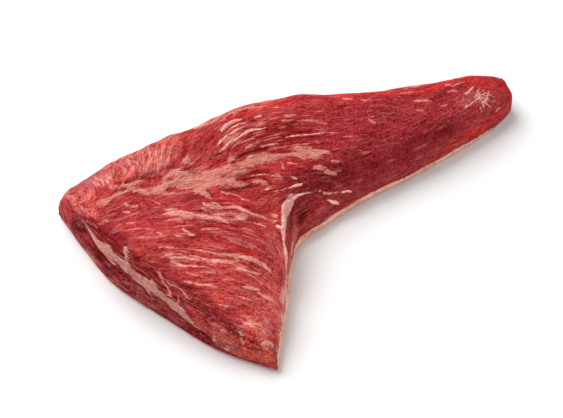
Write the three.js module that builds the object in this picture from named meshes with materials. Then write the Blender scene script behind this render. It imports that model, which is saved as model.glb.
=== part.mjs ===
// Tri-tip roast: one raw, trimmed piece of beef, boomerang-shaped in plan, lying on its fat side.
// Millimetres, +Z up. The origin is in the resting plane, under the middle of the piece's box.
// +X runs along the long side, from the blunt corner of the cut end towards the tip of the tail.
//
// A point of the surface has two shares: u goes from the cut end (0) to the tail tip (1), and v goes
// from the long side (0) to the short, hollow side (1). Four edge curves give its place in plan. A net
// of crown heights and four rounded shoulders give its height. The folds are carved along the normal.
import * as THREE from 'three';

// ---- Outline in plan ---------------------------------------------------------------------------
const LONG_SIDE = [
  [-124, 44], [-97, 53], [-67, 59], [-36, 64], [-4, 72.5], [22, 75.5],
  [53, 69], [88, 64], [122, 62.5], [143, 65], [161, 59.5],
];
const SHORT_SIDE = [
  [-31.5, -96], [-22, -75], [-13, -55], [-4, -34.5], [6, -19], [26, -9],
  [56, 2], [84, 9], [110, 17.5], [133, 25.5], [147, 31.5],
];
const CUT_END = [
  [-124, 44], [-120.5, 32], [-114, 11], [-103.5, -15.5], [-82, -45], [-59, -74], [-31.5, -96],
];
const TAIL_END = [[161, 59.5], [163.5, 50], [163, 42], [147, 31.5]];

// ---- Thickness ---------------------------------------------------------------------------------
// Crown heights: seven rows from the cut end to the tail tip, each across from the long side.
const CROWN = [
  [19, 34.5, 37.5, 30, 13],
  [28, 41, 43, 37, 22],
  [30, 41, 41, 36, 24],
  [28, 37, 37, 31, 20],
  [26, 33, 33, 27, 18],
  [22, 28, 26, 25, 17],
  [18, 20, 19, 18, 14],
];
const RIM_HEIGHT = 3; // the widest line of the piece lies this far above the board
const FOOT_RADIUS = 5; // the underside is flat this far in from the outline

// ---- Shoulders: how far in from each edge the full height is reached, and how square it is -----
const LONG_SHOULDER = { radius: [22, 22, 20, 17, 12, 9], fullness: 2.2 };
const SHORT_SHOULDER = { radius: [12, 14, 13, 12, 10, 8], fullness: 2.2 };
const CUT_SHOULDER = { radius: [13, 13], fullness: 2.6 };
const TAIL_SHOULDER = { radius: [7, 7], fullness: 2.2 };

// ---- Folds: a groove has a negative depth, and a ridge a positive one --------------------------
// Seams of the cut face, as shares of its height and of its way across. The thin under-muscle lies
// below them.
const CUT_FACE_SEAMS = [
  { depth: -4, width: 4.6, path: [[0.56, 0.26], [0.48, 0.35], [0.43, 0.45], [0.36, 0.6]] },
  { depth: -2.5, width: 4, path: [[0.34, 0.66], [0.26, 0.73], [0.18, 0.8]] },
];
// Folds of the top, as shares u and v.
const TOP_FOLDS = [
  // The hollow where the tail folds out of the body, and the sinew ridge that bounds it.
  { depth: -5.5, width: 8.5, path: [[0.41, 0.955], [0.45, 0.935], [0.51, 0.925]] },
  { depth: 1.8, width: 4.5, path: [[0.25, 0.965], [0.32, 0.93], [0.375, 0.86], [0.4, 0.78]] },
  // The shallow trough of the broad fat seam along the middle of the top.
  { depth: -2.4, width: 13, path: [[0.1, 0.42], [0.22, 0.5], [0.36, 0.58], [0.52, 0.63]] },
];
const FOLD_STEPS = 40; // steps along each fold's path

// ---- Slow unevenness of the whole top ----------------------------------------------------------
const LUMPS = [
  { height: 0.9, length: [61, 47], phase: [0.4, 1.9] },
  { height: 0.6, length: [34, 29], phase: [2.1, 0.3] },
];

// ---- Mesh: steps up the first shoulder, over the crown, and down the last shoulder -------------
const STEPS_ALONG = [16, 54, 6];
const STEPS_ACROSS = [8, 34, 8];
const STEPS_UNDER = 3; // rings of the rounded foot

const edgeCurve = (points) => new THREE.SplineCurve(points.map(([x, y]) => new THREE.Vector2(x, y)));
const longSide = edgeCurve(LONG_SIDE);
const shortSide = edgeCurve(SHORT_SIDE);
const cutEnd = edgeCurve(CUT_END);
const tailEnd = edgeCurve(TAIL_END);

// A value that runs smoothly through evenly spaced stations.
function between(stations, t) {
  return new THREE.SplineCurve(stations.map((value) => new THREE.Vector2(0, value))).getPoint(t).y;
}

// The place in plan: a patch stretched between the four edge curves.
function planPoint(u, v) {
  const sides = longSide.getPoint(u).lerp(shortSide.getPoint(u), v);
  const ends = cutEnd.getPoint(v).lerp(tailEnd.getPoint(v), u);
  const cutCorners = longSide.points[0].clone().lerp(shortSide.points[0], v);
  const tailCorners = longSide.points.at(-1).clone().lerp(shortSide.points.at(-1), v);
  return sides.add(ends).sub(cutCorners.lerp(tailCorners, u));
}

const widthAt = (u) => longSide.getPoint(u).distanceTo(shortSide.getPoint(u));
const lengthAt = (v) => cutEnd.getPoint(v).distanceTo(tailEnd.getPoint(v));

// A shoulder is a quarter of a superellipse: the height reached at a share of its radius, which is
// also the share of the radius, counted from the top, that is left at a height.
const quarter = (share, fullness) => (1 - share ** fullness) ** (1 / fullness);

// How full the height is at a distance from an edge: 0 on it, and 1 from the radius on.
function shoulder({ radius, fullness }, along, distance) {
  return quarter(1 - Math.min(distance / between(radius, along), 1), fullness);
}

function lumpHeight(x, y) {
  return LUMPS.reduce((sum, { height, length, phase }) => {
    const waveX = Math.sin((2 * Math.PI * x) / length[0] + phase[0]);
    const waveY = Math.sin((2 * Math.PI * y) / length[1] + phase[1]);
    return sum + height * waveX * waveY;
  }, 0);
}

function topPoint(u, v) {
  const { x, y } = planPoint(u, v);
  const width = widthAt(u);
  const length = lengthAt(v);
  const fullness = shoulder(LONG_SHOULDER, u, v * width) * shoulder(SHORT_SHOULDER, u, (1 - v) * width)
    * shoulder(CUT_SHOULDER, v, u * length) * shoulder(TAIL_SHOULDER, v, (1 - u) * length);
  const crown = between(CROWN.map((row) => between(row, v)), u) + lumpHeight(x, y);
  return new THREE.Vector3(x, y, RIM_HEIGHT + (crown - RIM_HEIGHT) * fullness);
}

// The outward normal of the top, from two short steps that stay inside the outline.
function topNormal(u, v) {
  const step = 1e-3;
  const [u0, v0] = [u, v].map((share) => THREE.MathUtils.clamp(share, step, 1 - step));
  const along = topPoint(u0 + step, v0).sub(topPoint(u0 - step, v0));
  const across = topPoint(u0, v0 + step).sub(topPoint(u0, v0 - step));
  return across.cross(along).normalize();
}

// The point of the cut face at a share of its height.
function cutFacePoint(rise, v) {
  const inset = between(CUT_SHOULDER.radius, v) * (1 - quarter(rise, CUT_SHOULDER.fullness));
  return topPoint(inset / lengthAt(v), v);
}

// The folds' paths as points of the surface.
const foldLine = (pointAt) => ({ depth, width, path }) => {
  const shares = edgeCurve(path).getPoints(FOLD_STEPS);
  return { depth, width, points: shares.map(({ x, y }) => pointAt(x, y)) };
};
const foldLines = [...CUT_FACE_SEAMS.map(foldLine(cutFacePoint)), ...TOP_FOLDS.map(foldLine(topPoint))];

// A point of the top, moved along its normal by the folds near it.
function carvedTopPoint(u, v) {
  const point = topPoint(u, v);
  const move = foldLines.reduce((sum, { depth, width, points }) => {
    const nearest = Math.min(...points.map((p) => p.distanceTo(point)));
    return sum + depth * Math.exp(-((nearest / width) ** 2));
  }, 0);
  return point.addScaledVector(topNormal(u, v), move);
}

// Shares from 0 to 1: even steps over the crown, and up each shoulder, of a width given as a share,
// steps that keep the mesh's spacing even as the shoulder steepens.
function stations([stepsUp, stepsOver, stepsDown], first, last) {
  const up = (steps, { width, fullness }) => Array.from({ length: steps }, (_, i) => (
    width * (1 - quarter(Math.sin((Math.PI / 2) * (i / steps)), fullness))));
  const over = Array.from({ length: stepsOver + 1 }, (_, i) => (
    THREE.MathUtils.lerp(first.width, 1 - last.width, i / stepsOver)));
  const down = up(stepsDown, last).reverse().map((share) => 1 - share);
  return [...up(stepsUp, first), ...over, ...down];
}

// The top as rows of points from the cut end to the tail tip.
function topRows() {
  const share = ({ radius, fullness }, along, size) => ({ width: between(radius, along) / size, fullness });
  const middle = 0.5;
  const alongStations = stations(
    STEPS_ALONG,
    share(CUT_SHOULDER, middle, lengthAt(middle)),
    share(TAIL_SHOULDER, middle, lengthAt(middle)),
  );
  return alongStations.map((u, i) => {
    const width = widthAt(u);
    const row = stations(STEPS_ACROSS, share(LONG_SHOULDER, u, width), share(SHORT_SHOULDER, u, width));
    const atEnd = i === 0 || i === alongStations.length - 1;
    return row.map((v, j) => {
      const onOutline = atEnd || j === 0 || j === row.length - 1;
      return { u, v, point: onOutline ? topPoint(u, v) : carvedTopPoint(u, v) };
    });
  });
}

// The outline's corners in turn: along the long side, round the tail, back, and across the cut end.
function outlineLoop(rows) {
  const last = rows.length - 1;
  const far = rows[0].length - 1;
  const loop = [];
  for (let i = 0; i < last; i++) loop.push([i, 0]);
  for (let j = 0; j < far; j++) loop.push([last, j]);
  for (let i = last; i > 0; i--) loop.push([i, far]);
  for (let j = far; j > 0; j--) loop.push([0, j]);
  return loop;
}

// A ring of the foot: the outline drawn in by part of the foot's radius, and lowered round a quarter.
function footRing(rows, loop, ring) {
  const angle = (Math.PI / 2) * (ring / STEPS_UNDER);
  const inset = FOOT_RADIUS * (1 - Math.cos(angle));
  return loop.map(([i, j]) => {
    const { u, v } = rows[i][j];
    const drawnIn = (share, size) => THREE.MathUtils.lerp(inset / size, 1 - inset / size, share);
    const { x, y } = planPoint(drawnIn(u, lengthAt(v)), drawnIn(v, widthAt(u)));
    return new THREE.Vector3(x, y, RIM_HEIGHT * (1 - Math.sin(angle)));
  });
}

// One closed body: the top's grid, the foot's rings below its outline, and the flat underside.
function roastGeometry() {
  const rows = topRows();
  const columns = rows[0].length;
  const points = rows.flatMap((row) => row.map(({ point }) => point));
  const triangles = [];
  for (let i = 0; i + 1 < rows.length; i++) {
    for (let j = 0; j + 1 < columns; j++) {
      const [a, b] = [i * columns + j, i * columns + j + 1];
      const [c, d] = [b + columns, a + columns];
      triangles.push(a, b, c, a, c, d);
    }
  }

  const loop = outlineLoop(rows);
  let upper = loop.map(([i, j]) => i * columns + j);
  for (let ring = 1; ring <= STEPS_UNDER; ring++) {
    const lower = upper.map((_, k) => points.length + k);
    points.push(...footRing(rows, loop, ring));
    for (let k = 0; k < loop.length; k++) {
      const next = (k + 1) % loop.length;
      triangles.push(upper[k], upper[next], lower[next], upper[k], lower[next], lower[k]);
    }
    upper = lower;
  }
  // The triangles of a footprint face up, so each is turned over to face the board.
  const footprint = upper.map((index) => new THREE.Vector2(points[index].x, points[index].y));
  for (const [a, b, c] of THREE.ShapeUtils.triangulateShape(footprint, [])) {
    triangles.push(upper[a], upper[c], upper[b]);
  }

  const geometry = new THREE.BufferGeometry().setFromPoints(points);
  geometry.setIndex(triangles);
  geometry.computeBoundingBox();
  const { min, max } = geometry.boundingBox;
  geometry.translate(-(min.x + max.x) / 2, -(min.y + max.y) / 2, 0);
  geometry.computeVertexNormals();
  return geometry;
}

const rawBeef = new THREE.MeshStandardMaterial({ color: '#a5353a', roughness: 0.45, metalness: 0 });

const roast = new THREE.Mesh(roastGeometry(), rawBeef);
roast.name = 'roast';

const triTip = new THREE.Group();
triTip.add(roast);

export default triTip;
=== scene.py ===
"""A raw, trimmed tri-tip roast: a muscle with its grain, fat seams and folds, on its thin rind of fat.

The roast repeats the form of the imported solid, on a finer mesh, from the same named values. Lengths in the
form and its patterns are millimetres, and MM turns them into metres at the end.

A point of the surface has two shares: u goes from the cut end (0) to the tail tip (1), and v goes from
the long side (0) to the short, hollow side (1).
"""

import math

import bmesh
import bpy
import numpy as np
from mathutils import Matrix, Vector
from mathutils.bvhtree import BVHTree


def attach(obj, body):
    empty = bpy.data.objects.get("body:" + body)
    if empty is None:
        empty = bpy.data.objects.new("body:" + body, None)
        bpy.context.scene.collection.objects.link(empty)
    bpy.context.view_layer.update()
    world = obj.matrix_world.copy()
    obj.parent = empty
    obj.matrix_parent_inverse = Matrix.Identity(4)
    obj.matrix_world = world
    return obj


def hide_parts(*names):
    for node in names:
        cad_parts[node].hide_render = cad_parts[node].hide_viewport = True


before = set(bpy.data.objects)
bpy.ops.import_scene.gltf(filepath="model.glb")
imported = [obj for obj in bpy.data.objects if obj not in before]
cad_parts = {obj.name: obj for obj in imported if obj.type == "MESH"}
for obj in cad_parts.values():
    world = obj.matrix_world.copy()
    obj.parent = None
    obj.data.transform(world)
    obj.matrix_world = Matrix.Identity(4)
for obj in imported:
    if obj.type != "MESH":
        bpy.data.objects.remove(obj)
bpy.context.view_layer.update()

MM = 0.001
BODY = "root"
NODE = "roast"
dice = np.random.default_rng(11)

# ---- The form, as the solid has it, in the outline's own axes ------------------------------------
MIDDLE = (20.23, -10.21)  # the middle of the outline's box, which becomes the frame's origin
LONG_SIDE = (
    (-124, 44), (-97, 53), (-67, 59), (-36, 64), (-4, 72.5), (22, 75.5),
    (53, 69), (88, 64), (122, 62.5), (143, 65), (161, 59.5),
)
SHORT_SIDE = (
    (-31.5, -96), (-22, -75), (-13, -55), (-4, -34.5), (6, -19), (26, -9),
    (56, 2), (84, 9), (110, 17.5), (133, 25.5), (147, 31.5),
)
CUT_END = ((-124, 44), (-120.5, 32), (-114, 11), (-103.5, -15.5), (-82, -45), (-59, -74), (-31.5, -96))
TAIL_END = ((161, 59.5), (163.5, 50), (163, 42), (147, 31.5))
CROWN = (
    (19, 34.5, 37.5, 30, 13),
    (28, 41, 43, 37, 22),
    (30, 41, 41, 36, 24),
    (28, 37, 37, 31, 20),
    (26, 33, 33, 27, 18),
    (22, 28, 26, 25, 17),
    (18, 20, 19, 18, 14),
)
RIM_HEIGHT = 3.0
FOOT_RADIUS = 5.0
LONG_RADII, LONG_FULLNESS = (22, 22, 20, 17, 12, 9), 2.2
SHORT_RADII, SHORT_FULLNESS = (12, 14, 13, 12, 10, 8), 2.2
CUT_RADIUS, CUT_FULLNESS = 13.0, 2.6
TAIL_RADIUS, TAIL_FULLNESS = 7.0, 2.2
# The folds: depth along the normal, width, and a path. A groove's depth is negative.
CUT_FACE_SEAMS = (
    (-4.0, 4.6, ((0.56, 0.26), (0.48, 0.35), (0.43, 0.45), (0.36, 0.6))),
    (-2.5, 4.0, ((0.34, 0.66), (0.26, 0.73), (0.18, 0.8))),
)
TOP_FOLDS = (
    (-5.5, 8.5, ((0.41, 0.955), (0.45, 0.935), (0.51, 0.925))),
    (1.8, 4.5, ((0.25, 0.965), (0.32, 0.93), (0.375, 0.86), (0.4, 0.78))),
    (-2.4, 13.0, ((0.1, 0.42), (0.22, 0.5), (0.36, 0.58), (0.52, 0.63))),
)
FOLD_STEPS = 40
LUMPS = ((0.9, (61, 47), (0.4, 1.9)), (0.6, (34, 29), (2.1, 0.3)))

# ---- The mesh ------------------------------------------------------------------------------------
GRID_ALONG, GRID_ACROSS = 250, 150  # squares before the body's are halved
FINE_TO = 0.5  # the squares of the body, up to this share of the grid, are halved
CUT_SPAN, TAIL_SPAN = 0.13, 0.05  # shares of the grid's length that climb the end shoulders
LONG_SPAN, SHORT_SPAN = 0.24, 0.15  # shares of its width that climb the side shoulders
FOOT_RINGS = 4
ON_BORDER = 1e-6  # a spot this near the grid's edge is on it
PATH_PIECES = 5  # straight pieces from one point of a path to the next
ABOVE, HALF_UP = 100.0, 12.0  # a path is dropped from the one, or laid nearest to the other if it misses
OUT_OF_REACH = -1e3  # how far inside a path a point is that isn't near it
TINY = 1e-9  # a length that is divided by counts as at least this
FACE_REACH, FACE_SOFT = 12, 5  # the cut face's looks end this far in from its foot, and fade over this

# ---- Fat seams and streaks -----------------------------------------------------------------------
# Each path is (x, y, half-width) on the top, in the outline's own axes.
CENTRAL_FAT = (
    ((-72, 12.6, 0.6), (-68, 13.4, 1.6), (-63, 14.6, 2.6), (-57, 15.4, 3.8), (-50, 16, 5.8), (-43, 15.5, 5.4),
     (-36, 16.5, 4.8), (-30, 18, 3.2), (-25, 18.5, 1.6), (-20, 19, 2.2), (-15, 20.5, 3), (-10, 22.5, 3.3),
     (-5, 23.3, 3.1), (0, 23.4, 2.8), (5, 24.3, 2), (10, 24.3, 2.3), (15, 24.3, 2.7), (20, 22.5, 3.8),
     (25, 21.5, 3.5), (28, 21.5, 2.2)),
    ((28, 24, 1.2), (31, 22.5, 1), (34, 21, 0.8), (36, 19.5, 0.6)),
    ((-48, 10, 2.2), (-46, 5, 1.6), (-44, 2, 0.9), (-42, -1, 0.4)),
    ((-41, 11, 2.2), (-36, 10, 1.8), (-31, 8.5, 2.2), (-25, 7.6, 2.2), (-20, 7.2, 2), (-15, 7, 1.7),
     (-11, 6.5, 1.4), (-8.5, 5, 0.9), (-6.8, 2.5, 0.6), (-5.6, -0.5, 0.5), (-5, -3, 0.7)),
    ((-22, 29, 1.2), (-22.5, 26, 1.6), (-24.5, 22.5, 1.6)),
    ((-1, 9.5, 1.4), (1, 9, 1.8), (1.5, 7.2, 1)),
    ((-49, 29, 0.8), (-46.5, 28, 1.7), (-46.5, 25.5, 1)),
    ((-91, 25, 0.6), (-87, 23.5, 1.1), (-83.5, 20.5, 1.5), (-81, 17.5, 1.7), (-77.5, 15, 1.4),
     (-74, 12.8, 0.7)),
    ((-79, 20.5, 0.8), (-76.5, 22, 0.9)),
    ((-106, 12, 0.3), (-103.5, 13.5, 0.6), (-102, 15.8, 0.7), (-97, 16.6, 0.4), (-92, 17.4, 0.4),
     (-88, 17.6, 0.4), (-84, 18, 0.6)),
    ((-102, 3, 0.6), (-99.5, 2.2, 0.8)),
    ((24, 13, 1.1), (27, 12, 1.4), (29, 11, 0.6)),
    ((30.5, 10.5, 0.4), (32, 8.5, 0.6), (33.5, 7.2, 0.4)),
)
BODY_STREAKS = (
    ((-69, -4, 0.3), (-65, -5.2, 0.8), (-61, -6.5, 1.4), (-57, -9.3, 1.9), (-52, -11.3, 1.7),
     (-47, -12.8, 1.2), (-43, -14, 1.1), (-39.5, -15.5, 1.3), (-37, -18, 0.9), (-36, -20, 0.4)),
    ((-47, -4.6, 0.5), (-44, -6.8, 1), (-39, -8, 1.1), (-33, -8.6, 0.9), (-28, -9.6, 1), (-25, -12, 0.9),
     (-21.5, -14.6, 0.7), (-17, -16.6, 0.6), (-13, -18.6, 0.5), (-9, -19.6, 0.3)),
    ((-42, -4.2, 0.4), (-39.5, -5.5, 0.8), (-38, -7, 0.6)),
    ((-31, -15.5, 0.6), (-29, -16.5, 1), (-27, -17.5, 0.5)),
    ((-23, -19.4, 0.4), (-19, -21, 0.6), (-16, -22.6, 0.3)),
    ((-64, -27, 0.2), (-58, -30, 0.4), (-52, -33, 0.6), (-47, -35.5, 0.8), (-40, -37, 1.2), (-35, -39, 1.4),
     (-30, -40.6, 1.4), (-26, -43, 1), (-23, -45.6, 0.7), (-21, -48, 0.3)),
    ((-62, -32, 0.3), (-56, -36, 0.6), (-52, -38.4, 1), (-47, -40, 1.3), (-43, -41, 1.3), (-38, -41.6, 0.6)),
    ((-73, -33, 0.2), (-70, -35.4, 0.5), (-66, -37.4, 0.6), (-61, -39.4, 0.5), (-57, -41, 0.4),
     (-53, -43, 0.2)),
    ((-73, -31.6, 0.3), (-67, -32.4, 0.5), (-62, -34.4, 0.3), (-57, -38, 0.3)),
    ((-69, -46, 0.3), (-62, -49.4, 0.6), (-57, -51, 0.7), (-54, -53, 0.6), (-50, -55, 0.4), (-46, -57, 0.2)),
    ((-48, -58, 0.3), (-42, -60, 0.5), (-38, -62, 0.4), (-35, -63.4, 0.2)),
    ((-54, -62.6, 0.4), (-51, -63.6, 0.6), (-48, -64.6, 0.3)),
    ((-31, -60, 0.6), (-29, -62, 0.6), (-25.5, -64, 0.4)),
    ((-41, -54.8, 0.3), (-36, -56.4, 0.5), (-31, -58, 0.3)),
    ((-39, -45.6, 0.3), (-33, -47.8, 0.5), (-28, -49.4, 0.7)),
    ((-77, -23.6, 0.4), (-72, -25.2, 0.7), (-68, -27, 0.4)),
    ((-75.5, -14.6, 0.4), (-74, -17, 0.8), (-73, -18.6, 0.3)),
    ((-61.5, -16.6, 0.3), (-59, -20, 0.9), (-56, -22, 0.5)),
    ((-66.5, -20, 0.5), (-64, -21, 0.6)),
    ((-44, -73.6, 0.4), (-39, -75, 0.6), (-35, -77, 0.5)),
    ((-37.5, -86, 0.6), (-34, -86, 1.5), (-31, -86.6, 0.8)),
    ((-47.5, -80, 0.5), (-46.5, -83, 0.9), (-46, -85, 0.4)),
    ((-35, 3, 0.4), (-32, 1, 0.8), (-29, 0.5, 0.9), (-26, -1, 0.7), (-24, -4, 0.6), (-21, -5.6, 0.4)),
    ((-20, 10.3, 0.3), (-13, 11.5, 0.5), (-8, 11.3, 0.6), (-4, 10.2, 0.5), (-1, 9, 0.6)),
    ((-10, -15.6, 0.8), (-8, -16.6, 0.9)),
)
NOTCH_FAT = (
    ((8, -3, 0.5), (5.2, -5, 1.4), (2.4, -7.6, 3.2), (0, -10.4, 4.2), (-1.8, -13.6, 3.4), (-3.4, -17.6, 2.3),
     (-5.2, -21.8, 1.6), (-6.8, -26, 1.1), (-8.2, -30.6, 1), (-8.8, -35, 0.9), (-9.4, -39.6, 0.9),
     (-10.6, -44.6, 0.8), (-13, -51, 0.6), (-17, -62, 0.3)),
    ((6, -4.2, 0.5), (10, -2.2, 0.4), (14, -1, 0.4), (20, 0.6, 0.3)),
    ((-6, -2, 0.4), (0, -0.8, 0.5), (5, 1.1, 0.5), (10, 2.6, 0.5), (15, 4.4, 0.3)),
    ((-10, -22, 0.5), (-7.5, -23.6, 0.8), (-8, -27, 0.4)),
    ((20, 1, 0.3), (25, 1.8, 0.9), (29, 1.2, 0.7), (35, 0.4, 0.4), (42, 0, 0.3)),
    ((27.5, -1.2, 0.4), (30, -2.6, 0.9), (33.5, -3.8, 0.4)),
    ((8, 8.6, 0.5), (10.5, 6.8, 0.6)),
)
FAN_STREAKS = (
    ((-28, 30.4, 0.2), (-24.6, 33, 0.7), (-21.5, 35.8, 0.7), (-17, 38.2, 0.4), (-12, 40, 0.2)),
    ((-27, 36, 0.3), (-23, 39.4, 0.6), (-20, 41.6, 0.6), (-16, 43.4, 0.6), (-12, 45, 0.4), (-8, 46.6, 0.2)),
    ((-19, 36.6, 0.3), (-15, 38.6, 0.4), (-10, 41, 0.6), (-5, 42.4, 0.8), (0, 42, 0.5), (4, 42.4, 0.2)),
    ((-22.6, 45.4, 0.3), (-19, 48.4, 1), (-15, 50.4, 1), (-9, 51.6, 0.4)),
    ((-18, 45.4, 0.2), (-12, 47.8, 0.4), (-7, 49, 0.2)),
    ((13, 34.8, 0.3), (17, 35.2, 0.5), (22, 34.8, 0.4), (29, 33.6, 0.4), (36, 33, 0.3)),
    ((-3, 30.4, 0.2), (2, 31.2, 0.4), (8, 31.6, 0.3)),
    ((9, 18.4, 0.4), (12, 17.4, 0.6), (15.5, 16.4, 0.4)),
    ((-1, 51.4, 0.6), (3, 51.4, 0.9)),
    ((-9, 0.8, 0.4), (-7, 0.8, 0.5)),
)
PINK_LINES = (
    ((-77, 46, 0.2), (-76, 42, 0.3), (-76.6, 37, 0.3)),
    ((-73.6, 45, 0.2), (-72.6, 40, 0.3)),
    ((-69.6, 44, 0.3), (-69, 40, 0.3), (-69.4, 36, 0.2)),
    ((-66, 42, 0.3), (-66.6, 36, 0.4), (-67, 32, 0.2)),
    ((-63, 40, 0.2), (-63.8, 33, 0.4), (-64.6, 28, 0.4), (-66, 25, 0.2)),
    ((-61.4, 33.4, 0.2), (-59.8, 38, 0.4), (-57.6, 42, 0.4)),
    ((-58.4, 31, 0.2), (-56.6, 34, 0.4), (-54.6, 36.6, 0.3)),
    ((-61.6, 30, 0.2), (-60.8, 27, 0.3)),
    ((-80.4, 33, 0.2), (-79, 38, 0.4), (-79, 43, 0.3)),
    ((-99.4, 37, 0.3), (-98.4, 34, 0.5), (-96.6, 32, 0.6)),
)
FINE_LINES = (
    ((-33.6, 27.6, 0.2), (-27, 29, 0.3), (-23, 31.4, 0.2)),
    ((-16, 34.6, 0.2), (-10, 36, 0.3), (-5, 36.4, 0.2)),
    ((7, 37, 0.5), (12, 37.6, 0.6)),
    ((14, 44.6, 0.2), (24, 43.6, 0.3), (32, 42, 0.2)),
    ((16, 47.6, 0.5), (20, 47.8, 0.7), (24, 47.4, 0.5)),
    ((40, 31.6, 0.3), (46, 31, 0.4), (51, 30.4, 0.2)),
    ((44, 28.4, 0.4), (50, 26.6, 0.5)),
    ((35, 14.4, 0.3), (40, 13.6, 0.5)),
    ((5, 14, 0.3), (6, 17.4, 0.4), (5.4, 20.6, 0.3)),
    ((22, 4.6, 0.2), (30, 4.6, 0.3), (37, 3.6, 0.2)),
    ((-38, -29.6, 0.3), (-34, -32, 0.5), (-30, -34, 0.6), (-26.6, -35, 0.3)),
    ((-22, 27, 0.2), (-12, 31, 0.3), (-4, 33.4, 0.4)),
    ((0, 27.6, 0.2), (10, 29.4, 0.3), (22, 29, 0.3), (32, 27.4, 0.2)),
    ((-88, 11, 0.4), (-85.6, 8.6, 0.6), (-82, 6.6, 0.5)),
    ((-90, 6, 0.3), (-87, 4.6, 0.4)),
    ((-76, 14, 0.3), (-73, 7, 0.4), (-70, 3, 0.2)),
    ((-96, -2, 0.2), (-88, -3.4, 0.4), (-80, -4, 0.3)),
    ((-93, -8, 0.2), (-86, -9, 0.4), (-79, -10.6, 0.3)),
    ((-91, -14, 0.3), (-84, -15.4, 0.4)),
    ((-70, -8, 0.2), (-64, -10.4, 0.4), (-58, -13.6, 0.2)),
    ((-66, -14, 0.2), (-60, -15, 0.3), (-54, -16.6, 0.2)),
    ((-52, -19, 0.2), (-46, -20.4, 0.4), (-40, -22.6, 0.2)),
    ((-48, -25, 0.2), (-42, -26.6, 0.3), (-36, -29, 0.2)),
    ((-34, -21, 0.2), (-28, -23.4, 0.4), (-22, -26.4, 0.2)),
    ((-70, -29, 0.2), (-64, -30, 0.4), (-58, -33.4, 0.2)),
    ((-78, -30, 0.2), (-72, -29.4, 0.3), (-66, -30.6, 0.2)),
    ((-60, -43, 0.2), (-53, -45.4, 0.4), (-46, -47.4, 0.2)),
    ((-54, -49, 0.2), (-48, -50.4, 0.3), (-42, -52, 0.2)),
    ((-66, -42, 0.2), (-60, -45.6, 0.4), (-55, -48, 0.2)),
    ((-44, -63.6, 0.3), (-40, -65.4, 0.4)),
    ((-28, -68, 0.3), (-25, -70.6, 0.4)),
    ((-30, -54, 0.3), (-26, -56.6, 0.4), (-22, -60, 0.2)),
    ((-38, -78, 0.3), (-34, -80.6, 0.4)),
    ((-24, -30, 0.2), (-20, -32.4, 0.3), (-16, -36, 0.2)),
    ((-18, -27, 0.2), (-14, -29.6, 0.3)),
)
TAIL_STREAKS = (
    ((89, 53.2, 0.3), (94, 54.2, 0.4), (101, 54.8, 0.5), (109.6, 54.2, 0.2)),
    ((88, 50, 0.2), (94, 51, 0.4), (100, 51.2, 0.3), (105.6, 50.2, 0.2)),
    ((96, 44.2, 0.2), (100, 43.4, 0.6), (104, 43, 0.5), (111, 42.2, 0.2)),
    ((118.6, 46.2, 0.4), (122, 46.6, 0.6), (126, 46.2, 0.2)),
    ((123.6, 49, 0.2), (128, 51, 0.4), (132.6, 52.2, 0.3)),
    ((119.6, 50.4, 0.2), (123, 50.6, 0.3)),
    ((95.6, 36.4, 0.6), (99.4, 35.4, 0.5)),
    ((111.6, 38, 0.4), (114, 37.8, 0.4), (117.4, 38.2, 0.2)),
    ((55, 53.6, 0.3), (57.4, 53, 0.7), (60, 52.4, 0.3)),
    ((64.6, 51.2, 0.3), (66, 50, 0.7), (67.4, 48.6, 0.5), (69, 49.4, 0.5), (71.6, 48.8, 0.2)),
    ((64, 39.8, 0.3), (65.6, 38, 0.6), (67.8, 36.4, 0.4)),
    ((64.6, 35.2, 0.5), (66.4, 33.6, 0.5), (67.8, 32.4, 0.3)),
    ((80, 45, 0.4), (81.4, 42.6, 0.3), (82.2, 40.8, 0.3)),
    ((35, 40, 0.3), (38, 39.2, 0.4), (40.6, 38.6, 0.4)),
    ((39, 31.4, 0.3), (42, 31.6, 0.4), (45.4, 31.4, 0.2)),
    ((46, 27.8, 0.2), (48.4, 27.8, 0.4), (51, 27.4, 0.2)),
    ((34.6, 14.4, 0.3), (37, 14.2, 0.5), (39.8, 13.8, 0.2)),
    ((53.6, 17.6, 0.4), (57.2, 16.2, 0.3)),
    ((12.6, 57, 0.5), (14.4, 56.2, 0.8)),
)
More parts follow.
